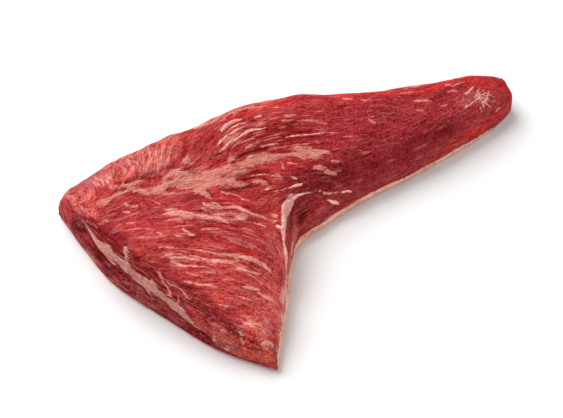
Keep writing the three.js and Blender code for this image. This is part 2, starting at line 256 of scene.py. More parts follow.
# The lacy patch of sinew near the tip.
TIP_LACE = (
    ((130.4, 43.2, 0.5), (132.4, 44.8, 0.9), (134.6, 46.4, 0.7), (137.4, 48.4, 0.4)),
    ((126, 33.4, 0.3), (128, 34.2, 0.5), (130, 34.8, 0.4), (132.4, 36, 0.5), (134.6, 37.4, 0.4)),
    ((140.8, 46.4, 0.2), (138.6, 44, 0.4), (139.8, 41.6, 0.4), (137.6, 39.4, 0.4), (138.4, 37, 0.3)),
    ((135.4, 37.8, 0.4), (138, 38.6, 0.5), (141.6, 38.4, 0.4)),
    ((139, 37, 0.3), (141, 35.6, 0.6), (143, 34.8, 0.4), (144.8, 34.2, 0.3)),
    ((138.4, 36, 0.4), (139, 34.4, 0.5), (138.6, 33, 0.3)),
    ((146.8, 44.6, 0.3), (145, 42, 0.4), (143.2, 39.4, 0.4), (141.6, 37, 0.4)),
    ((143.6, 45.6, 0.2), (142.6, 42.6, 0.4), (141.2, 40, 0.3)),
    ((138, 42.6, 0.3), (137, 40, 0.4), (136.4, 38, 0.3)),
    ((140.4, 43.4, 0.3), (138, 42.8, 0.3)),
    ((142.4, 43.4, 0.2), (145, 42.4, 0.4), (147.2, 40.6, 0.3), (149, 40, 0.2)),
    ((139.6, 41.8, 0.3), (142.8, 41, 0.4), (144.2, 38.6, 0.3)),
    ((133.6, 41.2, 0.2), (136.4, 40.6, 0.4), (138.8, 41.8, 0.3)),
    ((135.6, 44.6, 0.2), (137, 43, 0.4), (136.6, 41.4, 0.3)),
    ((148, 33.6, 0.4), (149.4, 34.6, 0.4), (151.2, 35.2, 0.3)),
    ((136, 33.6, 0.3), (137, 31.4, 0.3)),
    ((147.4, 37, 0.3), (149, 38.6, 0.3)),
    ((145, 36.4, 0.3), (146.6, 38, 0.2)),
)
# Each path is (v, share of the face's height, half-width) on the cut face.
FACE_FAT = (
    ((0.372, 0.75, 0.3), (0.39, 0.72, 1.6), (0.41, 0.7, 3), (0.44, 0.7, 3.7), (0.48, 0.72, 4.3),
     (0.52, 0.74, 3), (0.56, 0.72, 2.8), (0.6, 0.68, 3.8), (0.63, 0.68, 3.8), (0.66, 0.66, 3),
     (0.69, 0.63, 3.2), (0.72, 0.57, 3.6), (0.742, 0.47, 3.8), (0.762, 0.34, 2.6), (0.782, 0.28, 2),
     (0.802, 0.25, 1)),
    ((0.47, 0.62, 2), (0.49, 0.54, 1.2), (0.5, 0.46, 1), (0.51, 0.4, 0.9), (0.515, 0.34, 0.5)),
    ((0.575, 0.62, 1.6), (0.595, 0.52, 1), (0.615, 0.5, 1.4), (0.625, 0.44, 1.2), (0.63, 0.36, 0.5)),
    ((0.56, 0.78, 1.6), (0.548, 0.88, 1.2), (0.535, 0.98, 0.9)),
    ((0.545, 0.46, 0.4), (0.55, 0.4, 0.7), (0.556, 0.34, 0.4)),
    ((0.895, 0.62, 0.5), (0.895, 0.8, 0.8), (0.885, 0.95, 0.6)),
    ((0.84, 0.68, 0.6), (0.845, 0.78, 0.7)),
    ((0.4, 0.16, 0.4), (0.43, 0.24, 0.6), (0.45, 0.3, 0.4), (0.47, 0.36, 0.2)),
    ((0.38, 0.12, 0.3), (0.41, 0.24, 0.5), (0.43, 0.33, 0.2)),
    ((0.57, 0.2, 0.3), (0.585, 0.28, 0.6), (0.6, 0.36, 0.3)),
    ((0.65, 0.22, 0.4), (0.665, 0.32, 0.7), (0.68, 0.42, 0.4)),
    ((0.69, 0.26, 0.4), (0.7, 0.34, 0.6), (0.705, 0.4, 0.3)),
    ((0.82, 0.25, 0.3), (0.825, 0.4, 0.5), (0.826, 0.52, 0.3)),
    ((0.86, 0.2, 0.3), (0.862, 0.4, 0.4), (0.864, 0.6, 0.3)),
)
FACE_HAIRS = (
    ((0.305, 0.76, 0.1), (0.33, 0.75, 0.2), (0.353, 0.73, 0.3), (0.375, 0.7, 0.5), (0.39, 0.66, 0.4)),
    ((0.32, 0.81, 0.1), (0.345, 0.79, 0.2), (0.37, 0.76, 0.4)),
    ((0.29, 0.62, 0.1), (0.32, 0.62, 0.2), (0.35, 0.61, 0.1)),
    ((0.34, 0.85, 0.1), (0.37, 0.87, 0.25), (0.4, 0.86, 0.1)),
    ((0.37, 0.91, 0.1), (0.4, 0.92, 0.25), (0.43, 0.91, 0.1)),
    ((0.28, 0.7, 0.1), (0.3, 0.69, 0.2), (0.325, 0.69, 0.1)),
    ((0.694, 0.79, 0.6), (0.686, 0.86, 0.5), (0.668, 0.9, 0.5), (0.65, 0.94, 0.4), (0.633, 0.97, 0.2)),
    ((0.65, 0.94, 0.3), (0.668, 0.95, 0.4), (0.681, 0.94, 0.5), (0.699, 0.96, 0.5), (0.718, 0.96, 0.5),
     (0.731, 0.94, 0.3)),
    ((0.746, 0.93, 0.3), (0.735, 0.93, 0.5), (0.727, 0.86, 0.3)),
    ((0.711, 0.7, 0.6), (0.717, 0.8, 0.5), (0.711, 0.87, 0.3)),
    ((0.637, 0.985, 0.2), (0.647, 0.97, 0.4), (0.66, 0.93, 0.2)),
)
# Each group's tone, and how ragged and how soft its edges are, in millimetres.
FAT = (
    (CENTRAL_FAT, "top", (208, 131, 118), 1.0, 2.0),
    (BODY_STREAKS, "top", (234, 152, 138), 0.22, 0.9),
    (NOTCH_FAT, "top", (254, 190, 176), 0.3, 0.9),
    (FAN_STREAKS, "top", (248, 178, 162), 0.15, 0.7),
    (PINK_LINES, "top", (232, 134, 120), 0.15, 1.0),
    (FINE_LINES, "top", (222, 122, 114), 0.25, 1.1),
    (TAIL_STREAKS, "top", (232, 136, 128), 0.25, 1.0),
    (TIP_LACE, "top", (240, 170, 160), 0.2, 0.8),
    (FACE_FAT, "face", (206, 144, 133), 0.9, 1.3),
    (FACE_HAIRS, "face", (214, 132, 124), 0.1, 0.7),
)
RIND_TONE = (255, 198, 174)
SEAM_FAR = 6.0  # beyond this distance from any fat the pattern doesn't read how far it is
RIND_LONG = (3.0, 4.0, 4.5, 4.0, 3.5, 3.0)  # how high the rind shows, from the cut end to the tail
RIND_SHORT = (6.0, 11.0, 12.0, 10.5, 7.4, 6.8, 6.8, 6.0, 5.2, 4.4, 3.2)
RIND_CUT = (0.0, 0.5, 1.0, 0.6, 0.8, 0.4)  # from the long side to the short side
RIND_TAIL = (0.5, 0.5, 1.5)
RIND_RAGGED, RIND_WAVE = 0.5, 3  # how far its upper edge wanders, and over what length
RIND_BLUR, RIND_FALL = 0.5, -3.0  # a side counts by its distance plus the one, to the power of the other
EDGE_FINE, EDGE_MIDDLE, EDGE_BROAD = 0.5, 0.7, 0.3  # how much each width of fibre makes fat ragged

# ---- Creases: (depth, half-width, darkness of the painted shade in them, path) -------------------
TOP_CREASES = (
    (1.2, 1.4, 0.6, ((-89, 25.4), (-84, 23.4), (-79, 24), (-75, 23.4), (-71, 22.6))),
    (0.9, 1.3, 0.5, ((-72, 24.6), (-66, 25.2), (-60, 26), (-54, 25.4))),
    (0.8, 1.0, 0.5, ((-93, 21.6), (-90, 19.6), (-86, 18.8))),
    (0.9, 1.0, 0.65, ((-34, 27), (-30, 28.2), (-25, 30), (-22, 31.6))),
    (0.9, 1.0, 0.65, ((-23, 21), (-20, 23.6), (-16, 26), (-12, 27.6), (-6, 28.6), (0, 29.4))),
    (0.8, 1.1, 0.6, ((-31, 13), (-27, 12.4), (-20, 12.8), (-12, 13.4), (-4, 12.6))),
    (0.7, 0.7, 0.7, ((-20, 9.9), (-13, 10.2), (-8.6, 9), (-6, 6.4), (-5, 3))),
    (0.7, 1.0, 0.6, ((-35, 4.8), (-30, 3.6), (-24, 3.9), (-17, 4.6), (-11, 4.2))),
    (1.0, 1.4, 0.8, ((9, -5.4), (5, -8.4), (2.6, -12), (1, -16), (-1, -20))),
    (0.6, 0.9, 0.6, ((-37.6, -30.6), (-33.4, -33.2), (-29, -35))),
    (0.6, 1.2, 0.22, ((-46, -84.6), (-42, -86.6), (-38.6, -88), (-37, -86.4))),
    (0.5, 0.8, 0.5, ((-31, -86.6), (-29.6, -90))),
    (0.5, 1.0, 0.6, ((-42, 5), (-40.6, 1), (-41, -2.6))),
    (0.6, 1.0, 0.5, ((22, 15.4), (26, 15.6), (30, 15.4), (32, 17.6))),
    (0.5, 0.9, 0.5, ((-46, 42), (-42, 45), (-39, 46))),
    (0.5, 0.9, 0.5, ((-24, 44), (-20, 46.8), (-14, 48.8))),
    (0.4, 0.8, 0.5, ((16, 40.4), (24, 39.4), (32, 38.2))),
    (0.4, 0.8, 0.5, ((14, 33), (22, 32.6), (30, 31.4), (38, 31))),
    (0.4, 0.9, 0.5, ((-71, -47.6), (-66, -50.6), (-61, -53))),
)
FACE_CREASES = (
    (0.5, 1.5, 0.8, ((0.23, 0.38), (0.25, 0.46), (0.275, 0.6), (0.3, 0.68), (0.335, 0.74), (0.36, 0.74))),
    (0.7, 1.8, 0.95, ((0.37, 0.6), (0.385, 0.54), (0.41, 0.52), (0.44, 0.55), (0.465, 0.53), (0.485, 0.46),
                      (0.495, 0.38))),
    (0.4, 1.2, 0.8, ((0.525, 0.34), (0.53, 0.28))),
    (0.4, 1.2, 0.75, ((0.6, 0.42), (0.61, 0.34), (0.62, 0.26))),
    (0.3, 1.0, 0.7, ((0.604, 0.66), (0.61, 0.58))),
    (0.5, 1.4, 0.8, ((0.705, 0.48), (0.72, 0.4), (0.735, 0.3), (0.75, 0.22), (0.77, 0.2), (0.8, 0.22))),
    (0.3, 1.2, 0.6, ((0.715, 0.18), (0.725, 0.26), (0.73, 0.32))),
    (0.3, 1.0, 0.4, ((0.3, 0.82), (0.34, 0.86), (0.38, 0.86), (0.42, 0.87))),
    (0.3, 1.0, 0.5, ((0.945, 0.6), (0.943, 0.8), (0.94, 0.95))),
)

# ---- Tones (as seen in even light, but for painted shade and highlights), painted in this order: (tone, strength, softness, path) ------
BODY_TONE = (180, 55, 55)
TOP_TINTS = (
    ((205, 73, 69), 0.9, 20, ((-50, -52, 14), (-40, -66, 16), (-32, -80, 14))),
    ((202, 80, 77), 0.85, 10, ((-14, -28, 3), (-20, -44, 5), (-24, -60, 5))),
    ((166, 50, 52), 0.7, 8, ((-80, 1, 4), (-66, 2, 5), (-52, 2, 6))),
    ((160, 42, 44), 0.8, 8, ((-103, 4, 3), (-96, 2, 4), (-90, 8, 4), (-83, 11, 3))),
    ((130, 22, 28), 0.85, 6, ((-102, -3, 2), (-98, -9, 3), (-94, -15, 2.4))),
    ((168, 46, 46), 0.85, 10, ((-45, 36, 6), (-34, 38, 8), (-28, 43, 4))),
    ((154, 34, 36), 0.9, 14, ((-16, 33, 7), (4, 36, 10), (34, 36, 12))),
    ((172, 46, 53), 0.95, 16, ((44, 34, 16), (79, 36, 18), (114, 40, 14))),
    ((142, 32, 40), 0.9, 16, ((14, 4, 6), (44, 9, 10), (79, 17, 9), (112, 23, 6))),
    ((182, 54, 57), 0.8, 10, ((134, 41, 9), (147, 42, 7))),
    ((206, 56, 54), 0.7, 8, ((132, 53, 4), (148, 52, 5), (156, 50, 4))),
    ((172, 80, 80), 0.95, 8, ((-112, 32, 6), (-104, 37, 7), (-97, 41, 8))),
    ((192, 88, 82), 1.0, 8, ((-91, 37, 9), (-76, 40, 11), (-62, 41, 9), (-54, 46, 7))),
    # Paler pink near the far edge: painted sheen of a slope seen at a grazing angle.
    ((208, 118, 110), 0.9, 8, ((-104, 48, 2), (-84, 52, 3), (-68, 54, 4), (-50, 55, 4))),
    ((208, 102, 94), 0.85, 8, ((-98, 30, 4), (-84, 30, 5), (-70, 30, 5), (-60, 31, 4))),
    ((196, 72, 70), 0.7, 8, ((-42, 30, 3), (-30, 30, 3), (-20, 30, 2))),
    ((156, 50, 50), 0.7, 7, ((-86, -26, 3), (-78, -32, 4), (-70, -31, 3))),
    ((210, 78, 76), 0.9, 8, ((-116, 27, 6), (-107, 22, 6), (-109, 13, 4))),
    ((208, 92, 92), 0.8, 6, ((-117, 35, 4), (-113, 27, 4), (-110, 19, 3.5), (-107, 10, 3))),
    # The next two, paler pink along the far side's crest, are painted highlights.
    ((214, 116, 106), 0.95, 8, ((-30, 59, 3), (-11, 65, 4), (10, 70, 5), (24, 71, 5))),
    ((216, 114, 106), 0.95, 7, ((74, 65, 3), (89, 62, 4), (124, 60, 4), (146, 62, 3))),
    ((206, 48, 44), 0.85, 5, ((-13, 54, 2), (-5, 57, 3), (5, 60, 3), (15, 61, 3.4), (26, 61, 3),
                              (50, 57, 2), (75, 55, 3.4), (95, 50.6, 3), (112, 51, 3.4), (130, 54, 3),
                              (148, 53, 3), (158, 48, 2))),
    ((204, 52, 48), 0.9, 3, ((100, 11.6, 1), (110, 15, 1.4), (122, 19, 1.8), (134, 23.6, 2), (144, 28, 2),
                             (152, 32.4, 2), (158, 37, 2))),
    ((164, 42, 46), 0.8, 8, ((34, 62, 5), (42, 60, 5), (48, 54, 4))),
    ((204, 40, 38), 0.9, 2.4, ((108, 16.6, 1), (120, 20, 1.6), (132, 25.4, 2), (143, 29.4, 2.4),
                               (150, 32.6, 2.6), (157, 37, 2.8), (161, 43.6, 3), (161, 50, 2.4),
                               (160, 57, 1.6))),
    ((160, 52, 56), 0.8, 4, ((5, -27, 2), (21, -12, 2.5), (44, -3, 3), (79, 8, 3), (109, 15, 2.5))),
    ((124, 26, 32), 0.85, 6, ((6, 8, 3), (16, 10, 4), (30, 10, 4), (40, 9, 4))),
    ((136, 36, 42), 0.7, 6, ((8, -2, 3), (16, -1, 4))),
    ((176, 70, 70), 0.7, 6, ((24, 0, 3), (34, -1, 3))),
    # Darker in the hollow beside the notch's ridge: painted shade.
    ((134, 30, 36), 0.9, 4, ((5, -12, 2), (9, -9, 3), (14, -6.4, 2.4))),
    ((224, 96, 92), 0.9, 6, ((3, -14, 3), (1, -20, 2.5), (-1, -27, 2.5), (-5, -36, 2))),
    ((130, 32, 36), 0.8, 4, ((-92, -22, 1.4), (-85, -34, 2), (-77, -43, 2.4), (-70, -49, 2.6),
                             (-64, -55, 3.4), (-60, -62, 3.4), (-57, -66, 2))),
    # Darkest in that hollow: painted shade.
    ((104, 18, 26), 0.8, 3, ((8, -12, 1.2), (10, -9, 1.4), (12, -6.8, 0.8))),
    ((126, 30, 38), 0.8, 6, ((-54, 0, 2), (-50, 2, 3), (-47, -1, 2))),
    ((176, 36, 40), 0.8, 6, ((-30, 14, 1.5), (-20, 13.5, 2), (-10, 15, 3), (2, 16, 4), (16, 15, 3))),
    ((198, 42, 40), 0.7, 5, ((-38, 24.6, 1.5), (-30, 24.6, 1.6), (-26, 24, 1))),
    ((222, 78, 60), 0.8, 4, ((-92, 26.6, 1), (-85, 26.8, 1.6), (-77, 26.4, 1.2))),
    ((220, 72, 58), 0.7, 5, ((-60, 46, 2), (-54, 44, 2.5), (-48, 44, 2), (-40, 45, 1.5))),
    ((214, 48, 42), 0.7, 4, ((-38, 1, 1.5), (-33, -1.4, 2), (-28, -4, 1.5), (-22, -5, 1))),
    ((206, 52, 44), 0.8, 5, ((-40, -33, 1.5), (-32, -36, 2.2), (-26, -39, 2))),
    ((204, 72, 66), 0.6, 8, ((-66, -25, 2), (-58, -27, 3), (-50, -29, 2.5), (-42, -32, 1.5))),
    ((214, 58, 48), 0.8, 5, ((-14, -19, 1.5), (-11, -22, 2), (-8, -19.6, 1))),
    ((228, 84, 68), 0.85, 6, ((-47, -79, 2), (-40, -83, 3), (-35, -88, 3))),
    ((208, 86, 78), 0.7, 7, ((-52, -76, 2), (-48, -78, 3), (-42, -84, 3), (-37, -90, 2.4))),
    ((204, 82, 79), 0.6, 8, ((-80, -16, 3), (-76, -23, 4), (-71, -27, 4))),
    # The next two lighten the body's right edge, a slope turned from the light: painted light, partly a pale
    # rim.
    ((228, 82, 80), 0.7, 6, ((-11.5, -29, 1), (-13.6, -38, 2), (-16.4, -47, 3), (-20, -55, 2.4))),
    ((230, 92, 86), 0.85, 4, ((-9.6, -37, 1.4), (-12, -46, 1.8), (-15, -54, 2.2), (-18.8, -62.6, 2.4),
                              (-22.4, -70.6, 2.6), (-25.6, -77.8, 2.6), (-28.6, -85.4, 2))),
    ((164, 44, 46), 0.8, 6, ((-57, -66, 2), (-52, -67.6, 2.6), (-48, -67, 2))),
    ((178, 34, 36), 0.7, 4, ((-4, 27.4, 0.8), (0, 27.4, 1.4), (5, 28, 0.8))),
    ((190, 44, 44), 0.7, 4, ((-96, 22, 1), (-92, 21, 1.6), (-88, 20, 1))),
    ((176, 104, 86), 0.55, 3, ((-14, 28.4, 0.6), (-9, 30.8, 1.2), (-4, 33, 0.8))),
)
# Thin pale film, drawn out along the fibres; along the far rim and the body's right edge it is partly a
# painted highlight.
TOP_FILM = (
    ((226, 142, 132), 0.7, 4, ((-102, 28, 1.2), (-97, 30.6, 2.2), (-92, 32, 1.6))),
    ((230, 144, 130), 0.5, 4, ((-92, 24, 1.4), (-87, 21.4, 2), (-82, 19, 2), (-75, 15, 2))),
    ((226, 138, 128), 0.4, 3, ((-104, 13, 1), (-98, 16, 1.2), (-88, 17, 1))),
    ((234, 146, 132), 0.5, 6, ((-73, 14, 3), (-57, 16, 6), (-41, 16, 7), (-25, 17, 5), (-11, 21, 4))),
    ((230, 146, 136), 0.55, 5, ((-66, -4, 1.6), (-52, -9, 2.6), (-40, -14, 2.4), (-28, -15.6, 2.4))),
    ((232, 148, 138), 0.25, 3, ((-25, 35, 2), (-15, 41, 3), (-5, 45, 2.5), (5, 47, 2))),
    ((226, 138, 128), 0.35, 4, ((-72, -34, 2), (-58, -36, 2.6), (-44, -39, 3), (-28, -43, 2))),
    ((230, 142, 130), 0.4, 4, ((-47, -75, 2), (-39, -74, 3), (-33, -78, 3))),
    ((214, 130, 124), 0.45, 4, ((126, 36, 2), (134, 40, 4), (141, 39, 4))),
    ((228, 152, 144), 0.3, 3, ((134, 38, 1), (138.6, 41, 2), (142, 39.6, 2), (145.6, 37, 1))),
    ((255, 190, 176), 0.9, 4, ((5, -5, 1), (2, -8, 2.8), (-0.6, -11.4, 3.4), (-2.8, -16, 2.4),
                               (-5, -22, 1.4))),
    # Broken pale lines along the far rim: painted highlights.
    ((236, 146, 126), 0.7, 3, ((-36, 53.4, 1), (-26, 54.6, 1.2), (-15, 56.4, 1.2), (-8, 58.8, 1.2),
                               (2, 60.6, 1.2), (10, 61, 1))),
    # Pale along the body's right edge: partly film, partly a painted highlight.
    ((242, 158, 146), 0.95, 5, ((-2.6, -29, 2), (-6.2, -37.5, 2.6), (-10, -46, 3), (-14.6, -55, 3),
                                (-18.8, -65, 2.8), (-23.6, -76.5, 2.4), (-29.6, -90, 1.6))),
    # Paler along the tail's far slope: a painted highlight.
    ((226, 140, 132), 0.5, 4, ((84, 57, 1), (94, 56, 2), (104, 56, 1))),
)
FACE_TINTS = (
    # Darker all over the cut face: partly its own deeper red, partly painted shade of a face turned from the
    # light.
    ((146, 40, 43), 1.0, 4, ((0.0, 0.5, 20), (0.2, 0.5, 20), (0.4, 0.4, 22), (0.6, 0.4, 22), (0.8, 0.3, 18),
                             (1.0, 0.3, 12))),
    ((190, 56, 56), 0.95, 8, ((0.0, 0.6, 14), (0.08, 0.6, 13), (0.15, 0.66, 10), (0.2, 0.84, 5))),
    ((206, 80, 71), 0.9, 7, ((0.83, 0.7, 5), (0.88, 0.5, 7), (0.94, 0.5, 7), (1.0, 0.5, 6))),
    ((146, 26, 28), 0.8, 4, ((0.14, 0.26, 1.6), (0.165, 0.38, 2), (0.18, 0.46, 1))),
    ((128, 24, 28), 0.8, 3, ((0.27, 0.8, 1.5), (0.32, 0.87, 2), (0.4, 0.93, 2.4), (0.5, 0.94, 2),
                             (0.53, 0.91, 1))),
    ((158, 48, 46), 0.85, 4, ((0.57, 0.92, 2.4), (0.64, 0.9, 2.6), (0.7, 0.86, 2.4), (0.74, 0.8, 2))),
    ((194, 58, 50), 0.7, 5, ((0.76, 0.84, 2), (0.775, 0.68, 2.6), (0.79, 0.56, 2.6), (0.81, 0.46, 2))),
    # The next two darken the face's upper crevice and the crease along it: painted shade.
    ((100, 12, 20), 1.0, 5, ((0.225, 0.3, 1.6), (0.27, 0.36, 3), (0.3, 0.5, 3.4), (0.34, 0.6, 3.6),
                             (0.38, 0.5, 4.2), (0.43, 0.48, 3.6), (0.47, 0.44, 2.8))),
    ((84, 8, 16), 0.8, 2.4, ((0.24, 0.46, 0.8), (0.28, 0.6, 1), (0.31, 0.72, 1.2), (0.35, 0.76, 1.2))),
    ((104, 18, 22), 0.8, 4, ((0.4, 0.3, 3.6), (0.46, 0.3, 3.4), (0.49, 0.32, 2))),
    ((196, 106, 90), 0.8, 4, ((0.34, 0.02, 2), (0.385, 0.1, 2.6), (0.43, 0.14, 1.5))),
    ((168, 78, 70), 0.7, 6, ((0.52, 0.12, 3), (0.56, 0.28, 3.4), (0.6, 0.14, 4), (0.66, 0.26, 4),
                             (0.7, 0.16, 3))),
    ((92, 12, 18), 0.85, 2.4, ((0.505, 0.55, 1.2), (0.525, 0.6, 1.8), (0.55, 0.58, 1.8), (0.57, 0.52, 1.4),
                               (0.59, 0.42, 1))),
    # The next four darken the lower creases and crevice: painted shade.
    ((84, 10, 16), 0.7, 3, ((0.5, 0.3, 1), (0.52, 0.26, 1.6), (0.545, 0.34, 1), (0.57, 0.42, 1))),
    ((90, 12, 18), 0.7, 3, ((0.6, 0.3, 1.2), (0.62, 0.24, 1.6), (0.64, 0.3, 1))),
    ((104, 20, 24), 0.8, 3, ((0.64, 0.52, 1), (0.66, 0.54, 1.4), (0.68, 0.48, 1.4), (0.7, 0.42, 1.2))),
    ((84, 10, 14), 0.9, 3, ((0.71, 0.36, 0.8), (0.725, 0.26, 1.6), (0.745, 0.24, 1), (0.775, 0.17, 1.8),
                           (0.795, 0.18, 1.6))),
    ((178, 82, 72), 0.7, 5, ((0.815, 0.08, 2.4), (0.83, 0.3, 3), (0.85, 0.45, 3.6), (0.87, 0.5, 3.6),
                             (0.885, 0.3, 3))),
    ((120, 30, 34), 0.6, 3, ((0.805, 0.7, 1.6), (0.82, 0.5, 1.2), (0.822, 0.3, 1))),
    ((222, 62, 48), 0.85, 3, ((0.905, 0.97, 1.8), (0.91, 0.5, 2.4), (0.915, 0.12, 2))),
    ((176, 46, 40), 0.4, 2, ((0.925, 0.9, 0.8), (0.93, 0.7, 1), (0.935, 0.5, 0.8))),
    ((226, 92, 78), 0.7, 5, ((0.94, 0.6, 3), (0.965, 0.6, 3.6), (0.985, 0.5, 2))),
    ((164, 54, 46), 0.6, 3, ((0.918, 0.48, 1.6), (0.932, 0.48, 2), (0.948, 0.4, 1.6))),
    ((236, 104, 86), 0.8, 3, ((0.92, 0.98, 1.6), (0.94, 0.95, 2), (0.955, 0.92, 1.4))),
    ((216, 100, 98), 0.95, 5, ((0.04, 0.97, 2), (0.12, 0.96, 2.4), (0.2, 0.95, 2.6), (0.27, 0.95, 2.6),
                               (0.34, 0.99, 1.8))),
    ((206, 66, 64), 0.8, 4, ((0.3, 0.9, 1), (0.33, 0.93, 1.2), (0.37, 0.97, 1.2), (0.42, 0.99, 1))),
)

# ---- Grain: (x, y, turn from +X in degrees) ------------------------------------------------------
GRAIN = (
    (-81, -19, -10), (-56, -14, -18), (-47, -37, -24), (-61, -51, -20), (-31, -64, -34), (-21, -54, -48),
    (-26, -19, -25), (-81, 11, -5), (-101, 11, 20), (-33, -89, -40), (-11, -34, -60),
    (-61, 38, 70), (-76, 41, 85), (-101, 36, 105), (-46, 15, 6), (-16, 21, 10),
    (-23, 39, 45), (-16, 43, 30), (-9, 47, 25), (-1, 42, 5), (4, 31, 10), (19, 35, -3), (29, 34, -10),
    (39, 31, -8), (-41, 33, 40), (9, 11, -15), (-1, 1, 10), (-3, -12, 55), (7, -3, 25), (19, 1, 8),
    (29, 6, -5), (69, 31, 0), (99, 21, 17), (119, 31, 20), (139, 39, 45), (119, 53, 5), (129, 49, 30),
    (49, 11, 10), (19, 59, 8), (59, 57, -8), (89, 51, -6),
)
GRAIN_BLUR = 9.0  # added to each squared distance, so that no given turn rules alone
FACE_GRAIN = -56.0
LATTICE_SIZE = 256
FIBRE_STEP = 0.8
FIBRE_WIDTHS = (0.6, 2.2, 6.0)  # fine, middle and broad fibres; the fine ones are a cell of the mesh
BROAD_START = (9, 5)  # where on the lattice the broad fibres start, apart from the middle ones
FIBRE_REACH = (2.0, 5.0, 12.0, 5.0)  # how far the fine, middle and broad fibres and the veins run each way
VEIN_CHANCE = 0.01  # the share of spots that a vein starts from

# ---- How the fibres shape the tints, the film and the surface ------------------------------------
TINT_RAGGED, TINT_WIDE = 1.2, 6  # how far a tint's edge wanders, in full where it is at least this soft
FILM_COVER, FILM_MIDDLE, FILM_FINE, FILM_MOST = 0.6, 0.3, 0.2, 1.4
BROAD_RELIEF, MIDDLE_RELIEF, FINE_RELIEF = 0.22, 0.1, 0.03
FAT_SWELL, SWELL_SOFT, SWELL_START = 0.3, 1.6, 0.3
RELIEF_FULL = 5  # the height above the board from which the relief is full

# ---- How much there is of each habit of the lean: (amount, softness, path) ------------------------
MARBLING = (
    (1.3, 10, ((-21, 39, 8), (-1, 41, 10), (29, 37, 8))),
    (0.9, 12, ((-41, -39, 16), (-29, -19, 10))),
    (0.7, 8, ((-106, 16, 5), (-86, 6, 6), (-71, 3, 5))),
)
# How strongly single fibres stand out.
STRANDS = (
    (0.8, 8, ((-114, 32, 5), (-103, 38, 7), (-94, 44, 6))),
    (1.5, 10, ((-82, 40, 9), (-70, 42, 9), (-56, 46, 8))),
    (1.4, 10, ((-21, 39, 8), (-1, 41, 10), (29, 37, 8))),
    (0.55, 14, ((49, 31, 22), (79, 31, 22), (112, 37, 18))),
    (1.2, 8, ((128, 38, 6), (140, 42, 7))),
)
FACE_STRAND = 0.8  # how much more the fibres stand out on the cut face
FLAP_FROM, FLAP_SOFT = 0.68, 0.08  # from here along the cut face it is speckled, with few fibres
FLAP_STRAND, FLAP_FLECKS = 0.9, 1.6  # how much less its fibres stand out, and how many more flecks it has
# Small dark pits.
PITS = (
    (1.0, 8, ((-103, 8, 4), (-92, 8, 7), (-82, 8, 6), (-76, 4, 5))),
    (1.0, 6, ((-30, -66, 5), (-36, -68, 5))),
    (0.9, 6, ((-16, -36, 3), (-19, -46, 4), (-22, -55, 4))),
    (0.9, 6, ((-38, -49, 3), (-38, -55, 3))),
    (0.8, 6, ((-60, 27, 3), (-52, 26, 3), (-40, 25, 3))),
    (0.7, 8, ((-2, 37, 5), (10, 40, 6), (24, 33, 6), (38, 30, 5))),
    (1.0, 10, ((44, 30, 20), (79, 29, 20), (114, 34, 14), (140, 40, 10))),
    (0.8, 6, ((-8, -24, 3), (-9, -28, 3))),
    (1.3, 8, ((8, -4, 3), (16, 2, 6), (28, 6, 6))),
)
# Small pale flecks, partly painted glints of the wet surface.
FLECKS_AND_GLINTS = (
    (0.9, 8, ((-104, 14, 5), (-92, 8, 7), (-78, 4, 6))),
    (0.8, 8, ((-99, 33, 6), (-78, 38, 8), (-62, 40, 6))),
    (0.7, 14, ((44, 30, 20), (79, 29, 20), (114, 34, 14))),
    (1.1, 8, ((128, 38, 6), (140, 42, 7))),
    (0.7, 10, ((-40, -60, 8), (-32, -72, 6))),
    (0.7, 8, ((-20, -30, 6), (-20, -48, 5))),
)
# How much of each there is outside its paths.
MARBLING_BASE, STRANDS_BASE, PITS_BASE, FLECKS_AND_GLINTS_BASE = 0.5, 1.0, 0.25, 0.3

# ---- Colour: tones, and tints that multiply the painted tone -------------------------------------
LIGHT_GAIN, GLOSS_VEIL, LEAST_LIGHT = 1.04, 0.005, 0.002
# The darker fibre tint is partly painted shade between the fibres, and the paler one partly painted glints on
# them.
DEEP_LEAN_AND_SHADE, PALE_LEAN_AND_GLINT = (0.64, 0.28, 0.32, 1), (1.28, 1.95, 1.9, 1)
BLOTCH, COOL_RED, WARM_RED = (0.75, 0.5, 0.65, 1), (0.97, 0.9, 1.06, 1), (1.03, 1.1, 1.0, 1)
DEEP_FAT, PALE_FAT = (0.78, 0.52, 0.5, 1), (1.12, 1.3, 1.3, 1)
# The sheen tone is a painted sheen mixed into the paler fibres; the fleck tone is partly painted glints.
SHEEN_TONE, VEIN_TONE, FLECK_AND_GLINT_TONE = (244, 180, 170), (230, 152, 142), (234, 140, 132)
# The gap and hollow tones are painted shade: in the gaps between the fibres and in the creases.
GAP_SHADE_TONE, PIT_TONE, CREASE_SHADE_TONE = (62, 2, 10), (96, 14, 24), (84, 10, 22)

# ---- Camera --------------------------------------------------------------------------------------
TARGET = (-MIDDLE[0], -MIDDLE[1], 14.5)
AZIMUTH, ELEVATION = -17.0, 52.0
DISTANCE = 770.0
LENS, SENSOR, NEAREST_SEEN = 85.0, 36.0, 10.0

# ---- Light and floor, in metres ------------------------------------------------------------------
KEY_PLACE, KEY_SIZE, KEY_POWER = (-1.05, 1.65, 2.4), 2.3, 99.0
ROOM_LIGHT = 0.56
FLOOR_REACH, FLOOR_SHADE = 4.0, 0.9


def weights(stations, shares):
    """How much each of evenly spaced stations counts at each share, on a smooth curve through them all."""
    last = stations - 1
    spot = np.clip(shares, 0, 1) * last
    start = np.minimum(spot.astype(int), last - 1)
    w = spot - start
    pulls = (
        -w / 2 + w**2 - w**3 / 2,
        1 - 2.5 * w**2 + 1.5 * w**3,
        w / 2 + 2 * w**2 - 1.5 * w**3,
        -(w**2) / 2 + w**3 / 2,
    )
    out = np.zeros((len(shares), stations))
    rows = np.arange(len(shares))
    for offset, pull in enumerate(pulls, start=-1):
        out[rows, np.clip(start + offset, 0, last)] += pull
    return out


